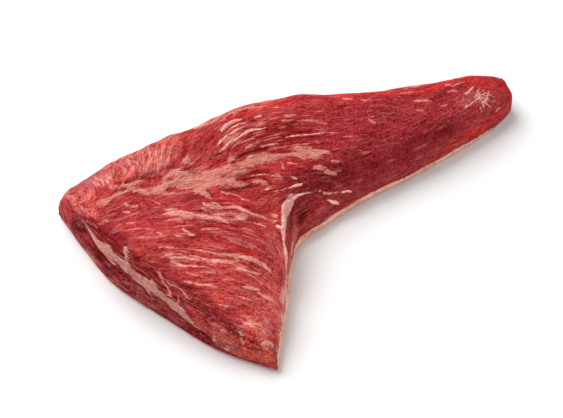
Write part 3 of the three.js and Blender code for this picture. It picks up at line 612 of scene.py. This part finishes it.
def curve(stations, shares):
    """The smooth curve through evenly spaced stations, at shares of its run."""
    return weights(len(stations), shares) @ np.asarray(stations, float)


def plan(u, v):
    """The place in plan: a patch stretched between the four edge curves."""
    far, near = curve(LONG_SIDE, u), curve(SHORT_SIDE, u)
    cut, tail = curve(CUT_END, v), curve(TAIL_END, v)
    corners = (LONG_SIDE[0], SHORT_SIDE[0], LONG_SIDE[-1], SHORT_SIDE[-1])
    a, b, c, d = (np.asarray(corner, float) for corner in corners)
    u, v = u[:, None], v[:, None]
    sides = far + (near - far) * v
    ends = cut + (tail - cut) * u
    return sides + ends - (a + (b - a) * v) * (1 - u) - (c + (d - c) * v) * u


def width_at(u):
    return np.linalg.norm(curve(LONG_SIDE, u) - curve(SHORT_SIDE, u), axis=1)


def length_at(v):
    return np.linalg.norm(curve(CUT_END, v) - curve(TAIL_END, v), axis=1)


def quarter(share, fullness):
    """A quarter of a superellipse: the height reached at a share of its radius, or the other way round."""
    return (1 - np.clip(share, 0, 1) ** fullness) ** (1 / fullness)


def shoulder(distance, radius, fullness):
    return quarter(1 - np.clip(distance / radius, 0, 1), fullness)


def smooth_top(u, v):
    """Points of the top before its folds, in the frame's axes."""
    xy = plan(u, v)
    width, length = width_at(u), length_at(v)
    full = (
        shoulder(v * width, curve(LONG_RADII, u), LONG_FULLNESS)
        * shoulder((1 - v) * width, curve(SHORT_RADII, u), SHORT_FULLNESS)
        * shoulder(u * length, CUT_RADIUS, CUT_FULLNESS)
        * shoulder((1 - u) * length, TAIL_RADIUS, TAIL_FULLNESS)
    )
    rows, columns = weights(len(CROWN), u), weights(len(CROWN[0]), v)
    crown = np.einsum("ni,nj,ij->n", rows, columns, np.asarray(CROWN, float))
    for height, (long_x, long_y), (phase_x, phase_y) in LUMPS:
        along = np.sin(2 * np.pi * xy[:, 0] / long_x + phase_x)
        crown = crown + height * along * np.sin(2 * np.pi * xy[:, 1] / long_y + phase_y)
    return np.column_stack([xy - MIDDLE, RIM_HEIGHT + (crown - RIM_HEIGHT) * full])


def unit(vectors):
    return vectors / np.maximum(np.linalg.norm(vectors, axis=-1, keepdims=True), TINY)


def cut_face(v, rise):
    """The points of the cut face at shares of its height."""
    inset = CUT_RADIUS * (1 - quarter(rise, CUT_FULLNESS))
    return smooth_top(inset / length_at(v), v)


def nearest(points, line):
    """The distance from each point to the nearest of a line's points."""
    best = np.full(len(points), np.inf)
    for spot in line:
        best = np.minimum(best, np.linalg.norm(points - spot, axis=1))
    return best


def fold_move(points):
    """How far the folds move each point of the top along its normal."""
    steps = np.linspace(0, 1, FOLD_STEPS + 1)
    move = np.zeros(len(points))
    for depth, width, path in CUT_FACE_SEAMS:
        shares = curve(path, steps)
        line = cut_face(shares[:, 1], shares[:, 0])
        move += depth * np.exp(-((nearest(points, line) / width) ** 2))
    for depth, width, path in TOP_FOLDS:
        shares = curve(path, steps)
        line = smooth_top(shares[:, 0], shares[:, 1])
        move += depth * np.exp(-((nearest(points, line) / width) ** 2))
    return move


def climb(spot, span_in, width_in, fullness_in, span_out, width_out, fullness_out):
    """Shares for even spots on the grid: up the first shoulder's curve, over the crown, down the last."""

    def up(part, width, fullness):
        return width * (1 - quarter(np.sin(np.pi / 2 * np.clip(part, 0, 1)), fullness))

    over = (spot - span_in) / (1 - span_in - span_out)
    level = width_in + (1 - width_out - width_in) * over
    rising = up(spot / span_in, width_in, fullness_in)
    falling = 1 - up((1 - spot) / span_out, width_out, fullness_out)
    return np.where(spot < span_in, rising, np.where(spot > 1 - span_out, falling, level))


def shares_of(along, across):
    middle = length_at(np.array([0.5]))[0]
    cut, tail = CUT_RADIUS / middle, TAIL_RADIUS / middle
    u = climb(along, CUT_SPAN, cut, CUT_FULLNESS, TAIL_SPAN, tail, TAIL_FULLNESS)
    width = width_at(u)
    long_part, short_part = curve(LONG_RADII, u) / width, curve(SHORT_RADII, u) / width
    v = climb(across, LONG_SPAN, long_part, LONG_FULLNESS, SHORT_SPAN, short_part, SHORT_FULLNESS)
    return u, v


def roast_sheet():
    """A square grid, finer over the body, with rings drawn down from its border and the last one closed.

    Each vertex holds its spot on the grid in x and y, from 0 to 1, and minus its ring's number in z.
    """
    shape = bmesh.new()
    bmesh.ops.create_grid(shape, x_segments=GRID_ALONG, y_segments=GRID_ACROSS, size=0.5)
    bmesh.ops.translate(shape, verts=shape.verts, vec=(0.5, 0.5, 0))
    body = [e for e in shape.edges if max(v.co.x for v in e.verts) <= FINE_TO]
    bmesh.ops.subdivide_edges(shape, edges=body, cuts=1, use_grid_fill=True)
    ring = [e for e in shape.edges if e.is_boundary]
    for _ in range(FOOT_RINGS):
        made = bmesh.ops.extrude_edge_only(shape, edges=ring)["geom"]
        corners = [part for part in made if isinstance(part, bmesh.types.BMVert)]
        bmesh.ops.translate(shape, verts=corners, vec=(0, 0, -1))
        ring = [part for part in made if isinstance(part, bmesh.types.BMEdge) and part.is_boundary]
    bmesh.ops.holes_fill(shape, edges=ring)
    return shape


def foot(u, v, turn):
    """The rounded foot, from the outline at turn 0 in to the flat underside at a quarter turn."""
    inset = FOOT_RADIUS * (1 - math.cos(turn))
    end, side = inset / length_at(v), inset / width_at(u)
    spots = plan(end + (1 - 2 * end) * u, side + (1 - 2 * side) * v)
    return np.column_stack([spots - MIDDLE, np.full(len(u), RIM_HEIGHT * (1 - math.sin(turn)))])


def smooth_path(path):
    """A path's points on a smooth curve through them."""
    return curve(path, np.linspace(0, 1, (len(path) - 1) * PATH_PIECES + 1))


def reach(points, path, margin):
    """How far each point is inside a path's half-width, and minus the distance outside it."""
    line, half = path[:, :-1], path[:, -1]
    low, high = line.min(0) - half.max() - margin, line.max(0) + half.max() + margin
    near = np.all((points > low) & (points < high), axis=1)
    found = points[near]
    best = np.full(len(found), OUT_OF_REACH)
    for a, b, wide_a, wide_b in zip(line[:-1], line[1:], half[:-1], half[1:]):
        run = b - a
        part = np.clip((found - a) @ run / max(run @ run, TINY), 0, 1)
        away = np.linalg.norm(found - a - part[:, None] * run, axis=1)
        best = np.maximum(best, wide_a + (wide_b - wide_a) * part - away)
    out = np.full(len(points), OUT_OF_REACH)
    out[near] = best
    return out


def ease(value):
    value = np.clip(value, 0, 1)
    return value * value * (3 - 2 * value)


LATTICE = dice.uniform(-1, 1, (LATTICE_SIZE, LATTICE_SIZE))


def ripple(x, y):
    """Smooth chance from -1 to 1, with one swing for each unit of x and y."""
    left, low = np.floor(x).astype(int), np.floor(y).astype(int)
    a, b = ease(x - left), ease(y - low)
    side, top = (left + 1) % LATTICE_SIZE, (low + 1) % LATTICE_SIZE
    left, low = left % LATTICE_SIZE, low % LATTICE_SIZE
    lower = LATTICE[left, low] * (1 - a) + LATTICE[side, low] * a
    upper = LATTICE[left, top] * (1 - a) + LATTICE[side, top] * a
    return lower * (1 - b) + upper * b


def face_share(u, v):
    """How much of the cut face's looks each point has: all of them on the face, and none well past it."""
    return ease((FACE_REACH - u * length_at(v)) / FACE_SOFT)


def grain_turn(points, face_part):
    """The grain's turn in plan, between the nearest given ones, and along the face on the cut end."""
    given = np.asarray(GRAIN, float)
    gap = ((points[:, None, :2] + MIDDLE - given[None, :, :2]) ** 2).sum(2) + GRAIN_BLUR
    pull = gap**-2
    turn = (pull @ given[:, 2]) / pull.sum(1)
    return np.radians(turn + (FACE_GRAIN - turn) * face_part)


def grid_points(cells_along, cells_across):
    """The top's points on an even grid of shares, and the grid's own u and v."""
    along, across = np.linspace(0, 1, cells_along + 1), np.linspace(0, 1, cells_across + 1)
    spots = np.meshgrid(along, across, indexing="ij")
    u, v = shares_of(spots[0].ravel(), spots[1].ravel())
    return smooth_top(u, v), u, v


def blend_of(fields, a, b):
    """The fields between their grid's spots, at a and b counted in cells."""
    rows, columns = fields.shape[0] - 2, fields.shape[1] - 2
    left, low = np.clip(a.astype(int), 0, rows), np.clip(b.astype(int), 0, columns)
    x, y = (a - left)[..., None], (b - low)[..., None]
    lower = fields[left, low] * (1 - x) + fields[left + 1, low] * x
    upper = fields[left, low + 1] * (1 - x) + fields[left + 1, low + 1] * x
    return lower * (1 - y) + upper * y


def fibre_fields():
    """Fine, middle and broad fibres and sparse veins, drawn out along the grain, and its direction."""
    size = (2 * GRID_ALONG + 1, 2 * GRID_ACROSS + 1)
    points, u, v = grid_points(size[0] - 1, size[1] - 1)
    turn = grain_turn(points, face_share(u, v))
    points = points.reshape(*size, 3)
    step_a, step_b = np.gradient(points, axis=0), np.gradient(points, axis=1)
    up = unit(np.cross(step_b, step_a))
    flat = np.column_stack([np.cos(turn), np.sin(turn), np.zeros(len(turn))]).reshape(*size, 3)
    run = unit(flat - (flat * up).sum(2, keepdims=True) * up)
    aa, ab, bb = (step_a**2).sum(2), (step_a * step_b).sum(2), (step_b**2).sum(2)
    pa, pb = (run * step_a).sum(2), (run * step_b).sum(2)
    room = np.maximum(aa * bb - ab * ab, 1e-6)
    go = np.stack([(bb * pa - ab * pb) / room, (aa * pb - ab * pa) / room], axis=-1) * FIBRE_STEP

    # Lengths over the surface, from the cut end and from the long side.
    far = np.cumsum(np.linalg.norm(step_a, axis=2), axis=0)
    wide = np.cumsum(np.linalg.norm(step_b, axis=2), axis=1)
    start = np.stack(
        [
            dice.normal(size=size),
            ripple(far / FIBRE_WIDTHS[1], wide / FIBRE_WIDTHS[1]),
            ripple(far / FIBRE_WIDTHS[2] + BROAD_START[0], wide / FIBRE_WIDTHS[2] + BROAD_START[1]),
            (dice.random(size) < VEIN_CHANCE).astype(float),
        ],
        axis=-1,
    )
    total = start.copy()
    for way in (1, -1):
        a, b = np.meshgrid(np.arange(size[0], dtype=float), np.arange(size[1], dtype=float), indexing="ij")
        for step in range(1, int(max(FIBRE_REACH) / FIBRE_STEP) + 1):
            stride = go[np.rint(a).astype(int), np.rint(b).astype(int)]
            a = np.clip(a + way * stride[..., 0], 0, size[0] - 1)
            b = np.clip(b + way * stride[..., 1], 0, size[1] - 1)
            pull = np.cos(np.pi / 2 * np.clip(step * FIBRE_STEP / np.array(FIBRE_REACH), 0, 1)) ** 2
            total += blend_of(start, a, b) * pull
    total[..., :3] -= total[..., :3].mean((0, 1))
    total[..., :3] /= total[..., :3].std((0, 1))
    return np.concatenate([total, run], axis=-1)


def linear(tone):
    """A tone of 0 to 255 as light."""
    tone = np.asarray(tone, float) / 255
    return np.where(tone <= 0.04045, tone / 12.92, ((tone + 0.055) / 1.055) ** 2.4)


def rind_height(u, v):
    """How high the rind of fat shows above the board, by the nearest sides."""
    sides = (
        (v * width_at(u), curve(RIND_LONG, u)),
        ((1 - v) * width_at(u), curve(RIND_SHORT, u)),
        (u * length_at(v), curve(RIND_CUT, v)),
        ((1 - u) * length_at(v), curve(RIND_TAIL, v)),
    )
    pulls = [(away + RIND_BLUR) ** RIND_FALL for away, _ in sides]
    return sum(pull * height for pull, (_, height) in zip(pulls, sides)) / sum(pulls)


class Finish:
    """A material made of nodes. Each call adds a node and gives its output; inputs are values or outputs."""

    def __init__(self, name):
        self.material = bpy.data.materials.new(name)
        self.material.use_nodes = True
        self.nodes = self.material.node_tree.nodes
        self.links = self.material.node_tree.links
        self.nodes.clear()

    def node(self, kind, inputs=(), output=0, **settings):
        made = self.nodes.new("ShaderNode" + kind)
        for name, value in settings.items():
            setattr(made, name, value)
        for name, value in dict(inputs).items():
            if isinstance(value, bpy.types.NodeSocket):
                self.links.new(value, made.inputs[name])
            else:
                made.inputs[name].default_value = value
        return made.outputs[output] if made.outputs else made

    def sum(self, operation, *values, clamp=False):
        return self.node("Math", enumerate(values), operation=operation, use_clamp=clamp)

    def add(self, total, *parts, clamp=False):
        """A total with each part, times its weight, added in turn."""
        for value, weight in parts:
            total = self.sum("MULTIPLY_ADD", value, weight, total)
        total.node.use_clamp = clamp
        return total

    def vector(self, operation, *values, scale=1.0):
        return self.node("VectorMath", {**dict(enumerate(values)), 3: scale}, operation=operation)

    def value(self, name):
        return self.node("Attribute", output=2, attribute_name=name)

    def colour(self, name):
        return self.node("Attribute", output=0, attribute_name=name)

    def direction(self, name):
        return self.node("Attribute", output=1, attribute_name=name)

    def three(self, name):
        """The three values that a vector attribute carries."""
        return self.node("SeparateXYZ", {0: self.direction(name)}).node.outputs

    def noise(self, vector, start, size, detail, roughness=0.5):
        """Noise from 0 to 1, from a place of its own, with features of a size."""
        place = self.vector("ADD", vector, (start, start, start))
        place = self.vector("SCALE", place, scale=1 / size)
        sockets = {"Vector": place, "Scale": 1.0, "Detail": detail, "Roughness": roughness}
        return self.node("TexNoise", sockets)

    def ramp(self, value, low, high, to_low=0.0, to_high=1.0):
        sockets = {0: value, 1: low, 2: high, 3: to_low, 4: to_high}
        return self.node("MapRange", sockets, interpolation_type="SMOOTHSTEP")

    def mix(self, amount, a, b, blend="MIX"):
        return self.node("Mix", {0: amount, 6: a, 7: b}, output=2, data_type="RGBA", blend_type=blend)

    def tint(self, colour, by):
        return self.mix(1.0, colour, by, "MULTIPLY")

    def done(self, sockets):
        """The finished material, with its shader's sockets set."""
        self.node("OutputMaterial", {0: self.node("BsdfPrincipled", sockets)})
        return self.material


def paint(tone):
    """The colour that gives a tone in this light, where gloss adds a white veil."""
    return np.maximum(linear(tone) * LIGHT_GAIN - GLOSS_VEIL, LEAST_LIGHT)


def flat(tone):
    return (*paint(tone), 1.0)


def beef_finish():
    """Moist raw lean with fibres along the grain, marbling, fat seams and the rind."""
    f = Finish("raw_beef")
    fine, middle, broad = f.three("fibres")
    shade, strand, pits = f.three("habit")
    vein, seam, flecks_and_glints = f.value("vein"), f.value("seam"), f.value("flecks_and_glints")
    lean, fat_paint = f.colour("lean_tone"), f.colour("fat_tone")
    run = f.direction("run")
    spot_mm = f.vector("SCALE", f.node("TexCoord", output=3), scale=1000.0)

    def chance(size, detail=3.0, start=0.0):
        """Noise about zero, with features of a size in millimetres."""
        return f.sum("SUBTRACT", f.noise(spot_mm, start, size, detail, 0.6), 0.5)

    def threads(width, step, each_way, start):
        """Noise drawn out along the grain: the mean of spots a step apart, each way along it."""
        total = 0.0
        for number in range(-each_way, each_way + 1):
            place = f.vector("MULTIPLY_ADD", run, (number * step,) * 3, spot_mm)
            total = f.sum("ADD", total, f.noise(place, start, width, 0.0))
        return f.sum("SUBTRACT", f.sum("DIVIDE", total, 2 * each_way + 1), 0.5)

    blotch, mottle, speck = chance(6.0), chance(2.0), chance(0.9, 2.0)
    hair, thread = threads(0.8, 0.6, 1, 200.0), threads(1.4, 1.0, 2, 300.0)
    warmth, pit, fleck_and_glint = chance(11.0, 2.0, 40.0), chance(1.7, 2.0, 80.0), chance(1.3, 2.0, 120.0)

    # The lean: darker and paler fibres round the painted tone; the paler side is partly painted glints on the
    # wet fibres and the darker side partly painted shade between them.
    grain = f.add(f.sum("MULTIPLY", thread, 1.7), (hair, 1.5), (fine, 0.1))
    speckle = f.add(1.0, (flecks_and_glints, 0.9))
    swing = f.add(0.48, (grain, strand), (middle, 0.08), (broad, 0.05), (speck, speckle), (mottle, 1.0))
    gap = f.ramp(swing, 0.05, -0.45)
    swing = f.sum("MINIMUM", f.sum("MAXIMUM", swing, 0.0), 1.0)
    pale_and_glint = f.mix(0.02, f.tint(lean, PALE_LEAN_AND_GLINT), flat(SHEEN_TONE))
    meat = f.mix(swing, f.tint(lean, DEEP_LEAN_AND_SHADE), pale_and_glint)
    meat = f.mix(f.ramp(blotch, -0.05, 0.2, 0.0, 0.4), meat, f.tint(meat, BLOTCH))

    # Warmer and cooler red in turn.
    meat = f.tint(meat, f.mix(f.ramp(warmth, -0.16, 0.16), COOL_RED, WARM_RED))

    # Dark gaps between the fibres, partly painted shade; dark pits; pale flecks, partly painted glints; thin
    # marbling; and painted shade in the creases.
    gap_shade = f.sum("MULTIPLY", gap, f.add(-0.4, (strand, 0.7), clamp=True))
    marks = (
        (gap_shade, GAP_SHADE_TONE),
        (f.sum("MULTIPLY", f.ramp(pit, 0.02, 0.16), f.sum("MULTIPLY", pits, 0.7)), PIT_TONE),
        (f.sum("MULTIPLY", f.ramp(fleck_and_glint, 0.06, 0.2), f.sum("MULTIPLY", flecks_and_glints, 0.3)), FLECK_AND_GLINT_TONE),
        (f.sum("MULTIPLY", vein, 0.75), VEIN_TONE),
        (f.sum("MULTIPLY", shade, 0.85), CREASE_SHADE_TONE),
    )
    for amount, mark_tone in marks:
        meat = f.mix(amount, meat, flat(mark_tone))

    # Fat, with a ragged edge that follows the fibres.
    fat = f.ramp(f.add(seam, (mottle, 0.7), (thread, 1.3)), -0.35, 0.3)
    fat_swing = f.add(0.52, (hair, 2.4), (speck, 0.9), (middle, 0.12), (mottle, 1.4), clamp=True)
    fat_colour = f.mix(fat_swing, f.tint(fat_paint, DEEP_FAT), f.tint(fat_paint, PALE_FAT))

    relief = f.add(f.sum("MULTIPLY", speck, 1.2), (fine, 0.25))
    return f.done(
        {
            "Base Color": f.mix(f.sum("MULTIPLY", fat, 0.92), meat, fat_colour),
            "Roughness": f.add(0.42, (speck, 0.4)),
            "Normal": f.node("Bump", {"Strength": 0.9, "Distance": 0.0006, "Height": relief}),
            "IOR": 1.42,
            "Specular IOR Level": 0.02,
            "Subsurface Weight": 0.12,
            "Subsurface Radius": (1.0, 0.3, 0.2),
            "Subsurface Scale": 0.0012,
            "Coat Weight": 0.015,
            "Coat Roughness": 0.1,
        }
    )


def place_camera():
    a, e = math.radians(AZIMUTH), math.radians(ELEVATION)
    back = Vector((math.sin(a) * math.cos(e), -math.cos(a) * math.cos(e), math.sin(e)))
    camera = bpy.data.objects.new("camera", bpy.data.cameras.new("camera"))
    camera.data.lens = LENS
    camera.data.sensor_width = SENSOR
    camera.data.clip_start = NEAREST_SEEN * MM
    camera.location = (Vector(TARGET) + back * DISTANCE) * MM
    camera.rotation_euler = (-back).to_track_quat("-Z", "Y").to_euler()
    bpy.context.scene.collection.objects.link(camera)
    bpy.context.scene.camera = camera


def soft_box(name, place, aim, size, power):
    """A square soft light that faces a point."""
    lamp = bpy.data.lights.new(name, "AREA")
    lamp.shape = "SQUARE"
    lamp.size = size
    lamp.energy = power
    box = bpy.data.objects.new(name, lamp)
    box.location = place
    box.rotation_euler = (Vector(aim) - Vector(place)).to_track_quat("-Z", "Y").to_euler()
    bpy.context.scene.collection.objects.link(box)


def set_points(shape, points):
    for vertex, spot in zip(shape.verts, points):
        vertex.co = spot


def normals_of(shape):
    shape.normal_update()
    return np.array([vertex.normal for vertex in shape.verts])


class Surface:
    """The folded form while its looks are made: its mesh, and each vertex's shares, place and fibres."""

    def __init__(self):
        self.shape = roast_sheet()
        grid = np.array([vertex.co for vertex in self.shape.verts])
        along, across = grid[:, 0].astype(float), grid[:, 1].astype(float)
        ring = np.round(-grid[:, 2]).astype(int)
        self.u, self.v = shares_of(along, across)
        self.points = smooth_top(self.u, self.v)
        for number in range(1, FOOT_RINGS + 1):
            these = ring == number
            self.points[these] = foot(self.u[these], self.v[these], np.pi / 2 * number / FOOT_RINGS)
        first, last = ON_BORDER, 1 - ON_BORDER
        border = (along < first) | (along > last) | (across < first) | (across > last)
        self.inner = (ring == 0) & ~border
        set_points(self.shape, self.points)
        self.shape.normal_update()
        bmesh.ops.recalc_face_normals(self.shape, faces=self.shape.faces)
        self.push(fold_move(self.points[self.inner]))
        set_points(self.shape, self.points)
        self.shape.normal_update()
        self.tree = BVHTree.FromBMesh(self.shape)

        fields = blend_of(fibre_fields(), along * 2 * GRID_ALONG, across * 2 * GRID_ACROSS)
        self.fine, self.middle, self.broad, self.vein = fields[:, :4].T
        self.run = unit(fields[:, 4:])
        self.face_part = face_share(self.u, self.v) * (ring == 0)

    def push(self, lengths):
        """Moves the points inside the top's border along their normals."""
        normals = normals_of(self.shape)
        self.points[self.inner] += normals[self.inner] * lengths[:, None]

    def on_top(self, path):
        """A path of plan points, and what else they carry, dropped on the surface."""
        out = []
        for x, y, *more in smooth_path(path):
            x, y = x - MIDDLE[0], y - MIDDLE[1]
            hit = self.tree.ray_cast(Vector((x, y, ABOVE)), Vector((0, 0, -1)))[0]
            if hit is None:
                hit = self.tree.find_nearest(Vector((x, y, HALF_UP)))[0]
            out.append((*hit, *more))
        return np.array(out)

    def reach_of(self, onto, path, margin):
        """How far each point is inside a path that is laid on the top or on the cut face."""
        if onto == "top":
            return reach(self.points, self.on_top(path), margin)
        path = smooth_path(path)
        line = np.column_stack([cut_face(path[:, 0], path[:, 1]), path[:, 2:]])
        return reach(self.points, line, margin)

    def habit(self, base, zones):
        """How much of a habit of the lean each point has."""
        amount = np.full(len(self.points), base)
        for strength, soft, path in zones:
            amount += (strength - amount) * ease(self.reach_of("top", path, soft) / soft + 0.5)
        return amount


def fat_of(surface):
    """How far each point is inside fat, as a share of its soft edge, and the tone of that fat."""
    points = surface.points
    seam = np.full(len(points), -SEAM_FAR)
    tones = np.tile(paint(BODY_TONE), (len(points), 1))

    def add_fat(inside, group_tone):
        more = inside > seam
        seam[more] = inside[more]
        tones[more] = paint(group_tone)

    wander = EDGE_FINE * surface.fine + EDGE_MIDDLE * surface.middle + EDGE_BROAD * surface.broad
    for group, onto, group_tone, ragged, soft in FAT:
        for path in group:
            add_fat((surface.reach_of(onto, path, SEAM_FAR) + ragged * wander) / soft, group_tone)
    wave = ripple(points[:, 0] / RIND_WAVE, points[:, 1] / RIND_WAVE)
    add_fat(rind_height(surface.u, surface.v) + RIND_RAGGED * wave - points[:, 2], RIND_TONE)
    return seam, tones


def lean_of(surface):
    """The colour of the lean at each point: the tints, and then the film over them; a few of both are painted
    shade and highlights.
    """
    middle = surface.middle
    film = np.clip(FILM_COVER + FILM_MIDDLE * middle + FILM_FINE * surface.fine, 0, FILM_MOST)
    colour = np.tile(paint(BODY_TONE), (len(middle), 1))
    layers = ((TOP_TINTS, "top", 1.0), (FACE_TINTS, "face", surface.face_part), (TOP_FILM, "top", film))
    for tints, onto, cover in layers:
        for tint_tone, strength, soft, path in tints:
            inside = surface.reach_of(onto, path, soft) + TINT_RAGGED * min(soft / TINT_WIDE, 1) * middle
            amount = strength * ease(inside / soft + 0.5) * cover
            colour += (paint(tint_tone) - colour) * amount[:, None]
    return colour


def creases_of(surface):
    """How much painted shade darkens the creases, and how deep they are, at each point."""
    shade, sink = np.zeros(len(surface.points)), np.zeros(len(surface.points))
    for creases, onto in ((TOP_CREASES, "top"), (FACE_CREASES, "face")):
        for depth, half, dark, path in creases:
            line = [(*spot, 0.0) for spot in path]
            outside = np.minimum(surface.reach_of(onto, line, 3 * half), 0)
            hollow = np.exp(-((outside / half) ** 2))
            shade = np.maximum(shade, dark * hollow)
            sink = np.maximum(sink, depth * hollow)
    return shade, sink


def relief_of(surface, seam, sink):
    """How far the fibres, the fat and the creases move each point along its normal."""
    lift = BROAD_RELIEF * surface.broad + MIDDLE_RELIEF * surface.middle + FINE_RELIEF * surface.fine
    lift += FAT_SWELL * ease(seam / SWELL_SOFT + SWELL_START) - sink
    return lift * np.clip(surface.points[:, 2] / RELIEF_FULL, 0, 1)


def with_alpha(colours):
    return np.column_stack([colours, np.ones(len(colours))])


def make_roast():
    surface = Surface()
    seam, fat_tone = fat_of(surface)
    lean_tone = lean_of(surface)
    shade, sink = creases_of(surface)
    vein = np.clip(surface.vein * surface.habit(MARBLING_BASE, MARBLING), 0, 1)
    strand, pits = surface.habit(STRANDS_BASE, STRANDS), surface.habit(PITS_BASE, PITS)
    flap = ease((surface.v - FLAP_FROM) / FLAP_SOFT) * surface.face_part
    strand += FACE_STRAND * surface.face_part - FLAP_STRAND * flap
    flecks_and_glints = surface.habit(FLECKS_AND_GLINTS_BASE, FLECKS_AND_GLINTS) + FLAP_FLECKS * flap

    surface.push(relief_of(surface, seam, sink)[surface.inner])
    set_points(surface.shape, surface.points * MM)
    mesh = bpy.data.meshes.new("tri_tip")
    surface.shape.to_mesh(mesh)
    surface.shape.free()
    mesh.polygons.foreach_set("use_smooth", np.ones(len(mesh.polygons), bool))
    fibres = np.column_stack([surface.fine, surface.middle, surface.broad])
    layers = (
        ("fibres", "FLOAT_VECTOR", "vector", fibres),
        ("run", "FLOAT_VECTOR", "vector", surface.run),
        ("vein", "FLOAT", "value", vein),
        ("flecks_and_glints", "FLOAT", "value", flecks_and_glints),
        ("seam", "FLOAT", "value", seam),
        ("lean_tone", "FLOAT_COLOR", "color", with_alpha(lean_tone)),
        ("fat_tone", "FLOAT_COLOR", "color", with_alpha(fat_tone)),
        # Its first channel is the creases' painted shade.
        ("habit", "FLOAT_VECTOR", "vector", np.column_stack([shade, strand, pits])),
    )
    for name, kind, field, values in layers:
        mesh.attributes.new(name, kind, "POINT").data.foreach_set(field, values.astype(np.float32).ravel())
    mesh.materials.append(beef_finish())
    roast = bpy.data.objects.new("tri_tip", mesh)
    bpy.context.scene.collection.objects.link(roast)
    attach(roast, BODY)
    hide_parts(NODE)


def make_floor():
    shape = bmesh.new()
    bmesh.ops.create_grid(shape, x_segments=1, y_segments=1, size=FLOOR_REACH)
    mesh = bpy.data.meshes.new("floor")
    shape.to_mesh(mesh)
    shape.free()
    shade = (FLOOR_SHADE, FLOOR_SHADE, FLOOR_SHADE, 1)
    white = {"Base Color": shade, "Roughness": 0.7, "Specular IOR Level": 0.0}
    mesh.materials.append(Finish("floor_white").done(white))
    floor = bpy.data.objects.new("floor", mesh)
    bpy.context.scene.collection.objects.link(floor)


place_camera()
make_roast()
make_floor()

soft_box("key", KEY_PLACE, (0, 0, 0), KEY_SIZE, KEY_POWER)
world = bpy.data.worlds.new("studio")
world.use_nodes = True
world.node_tree.nodes["Background"].inputs[0].default_value = (1, 1, 1, 1)
world.node_tree.nodes["Background"].inputs[1].default_value = ROOM_LIGHT
bpy.context.scene.world = world
bpy.context.scene.view_settings.view_transform = "Standard"
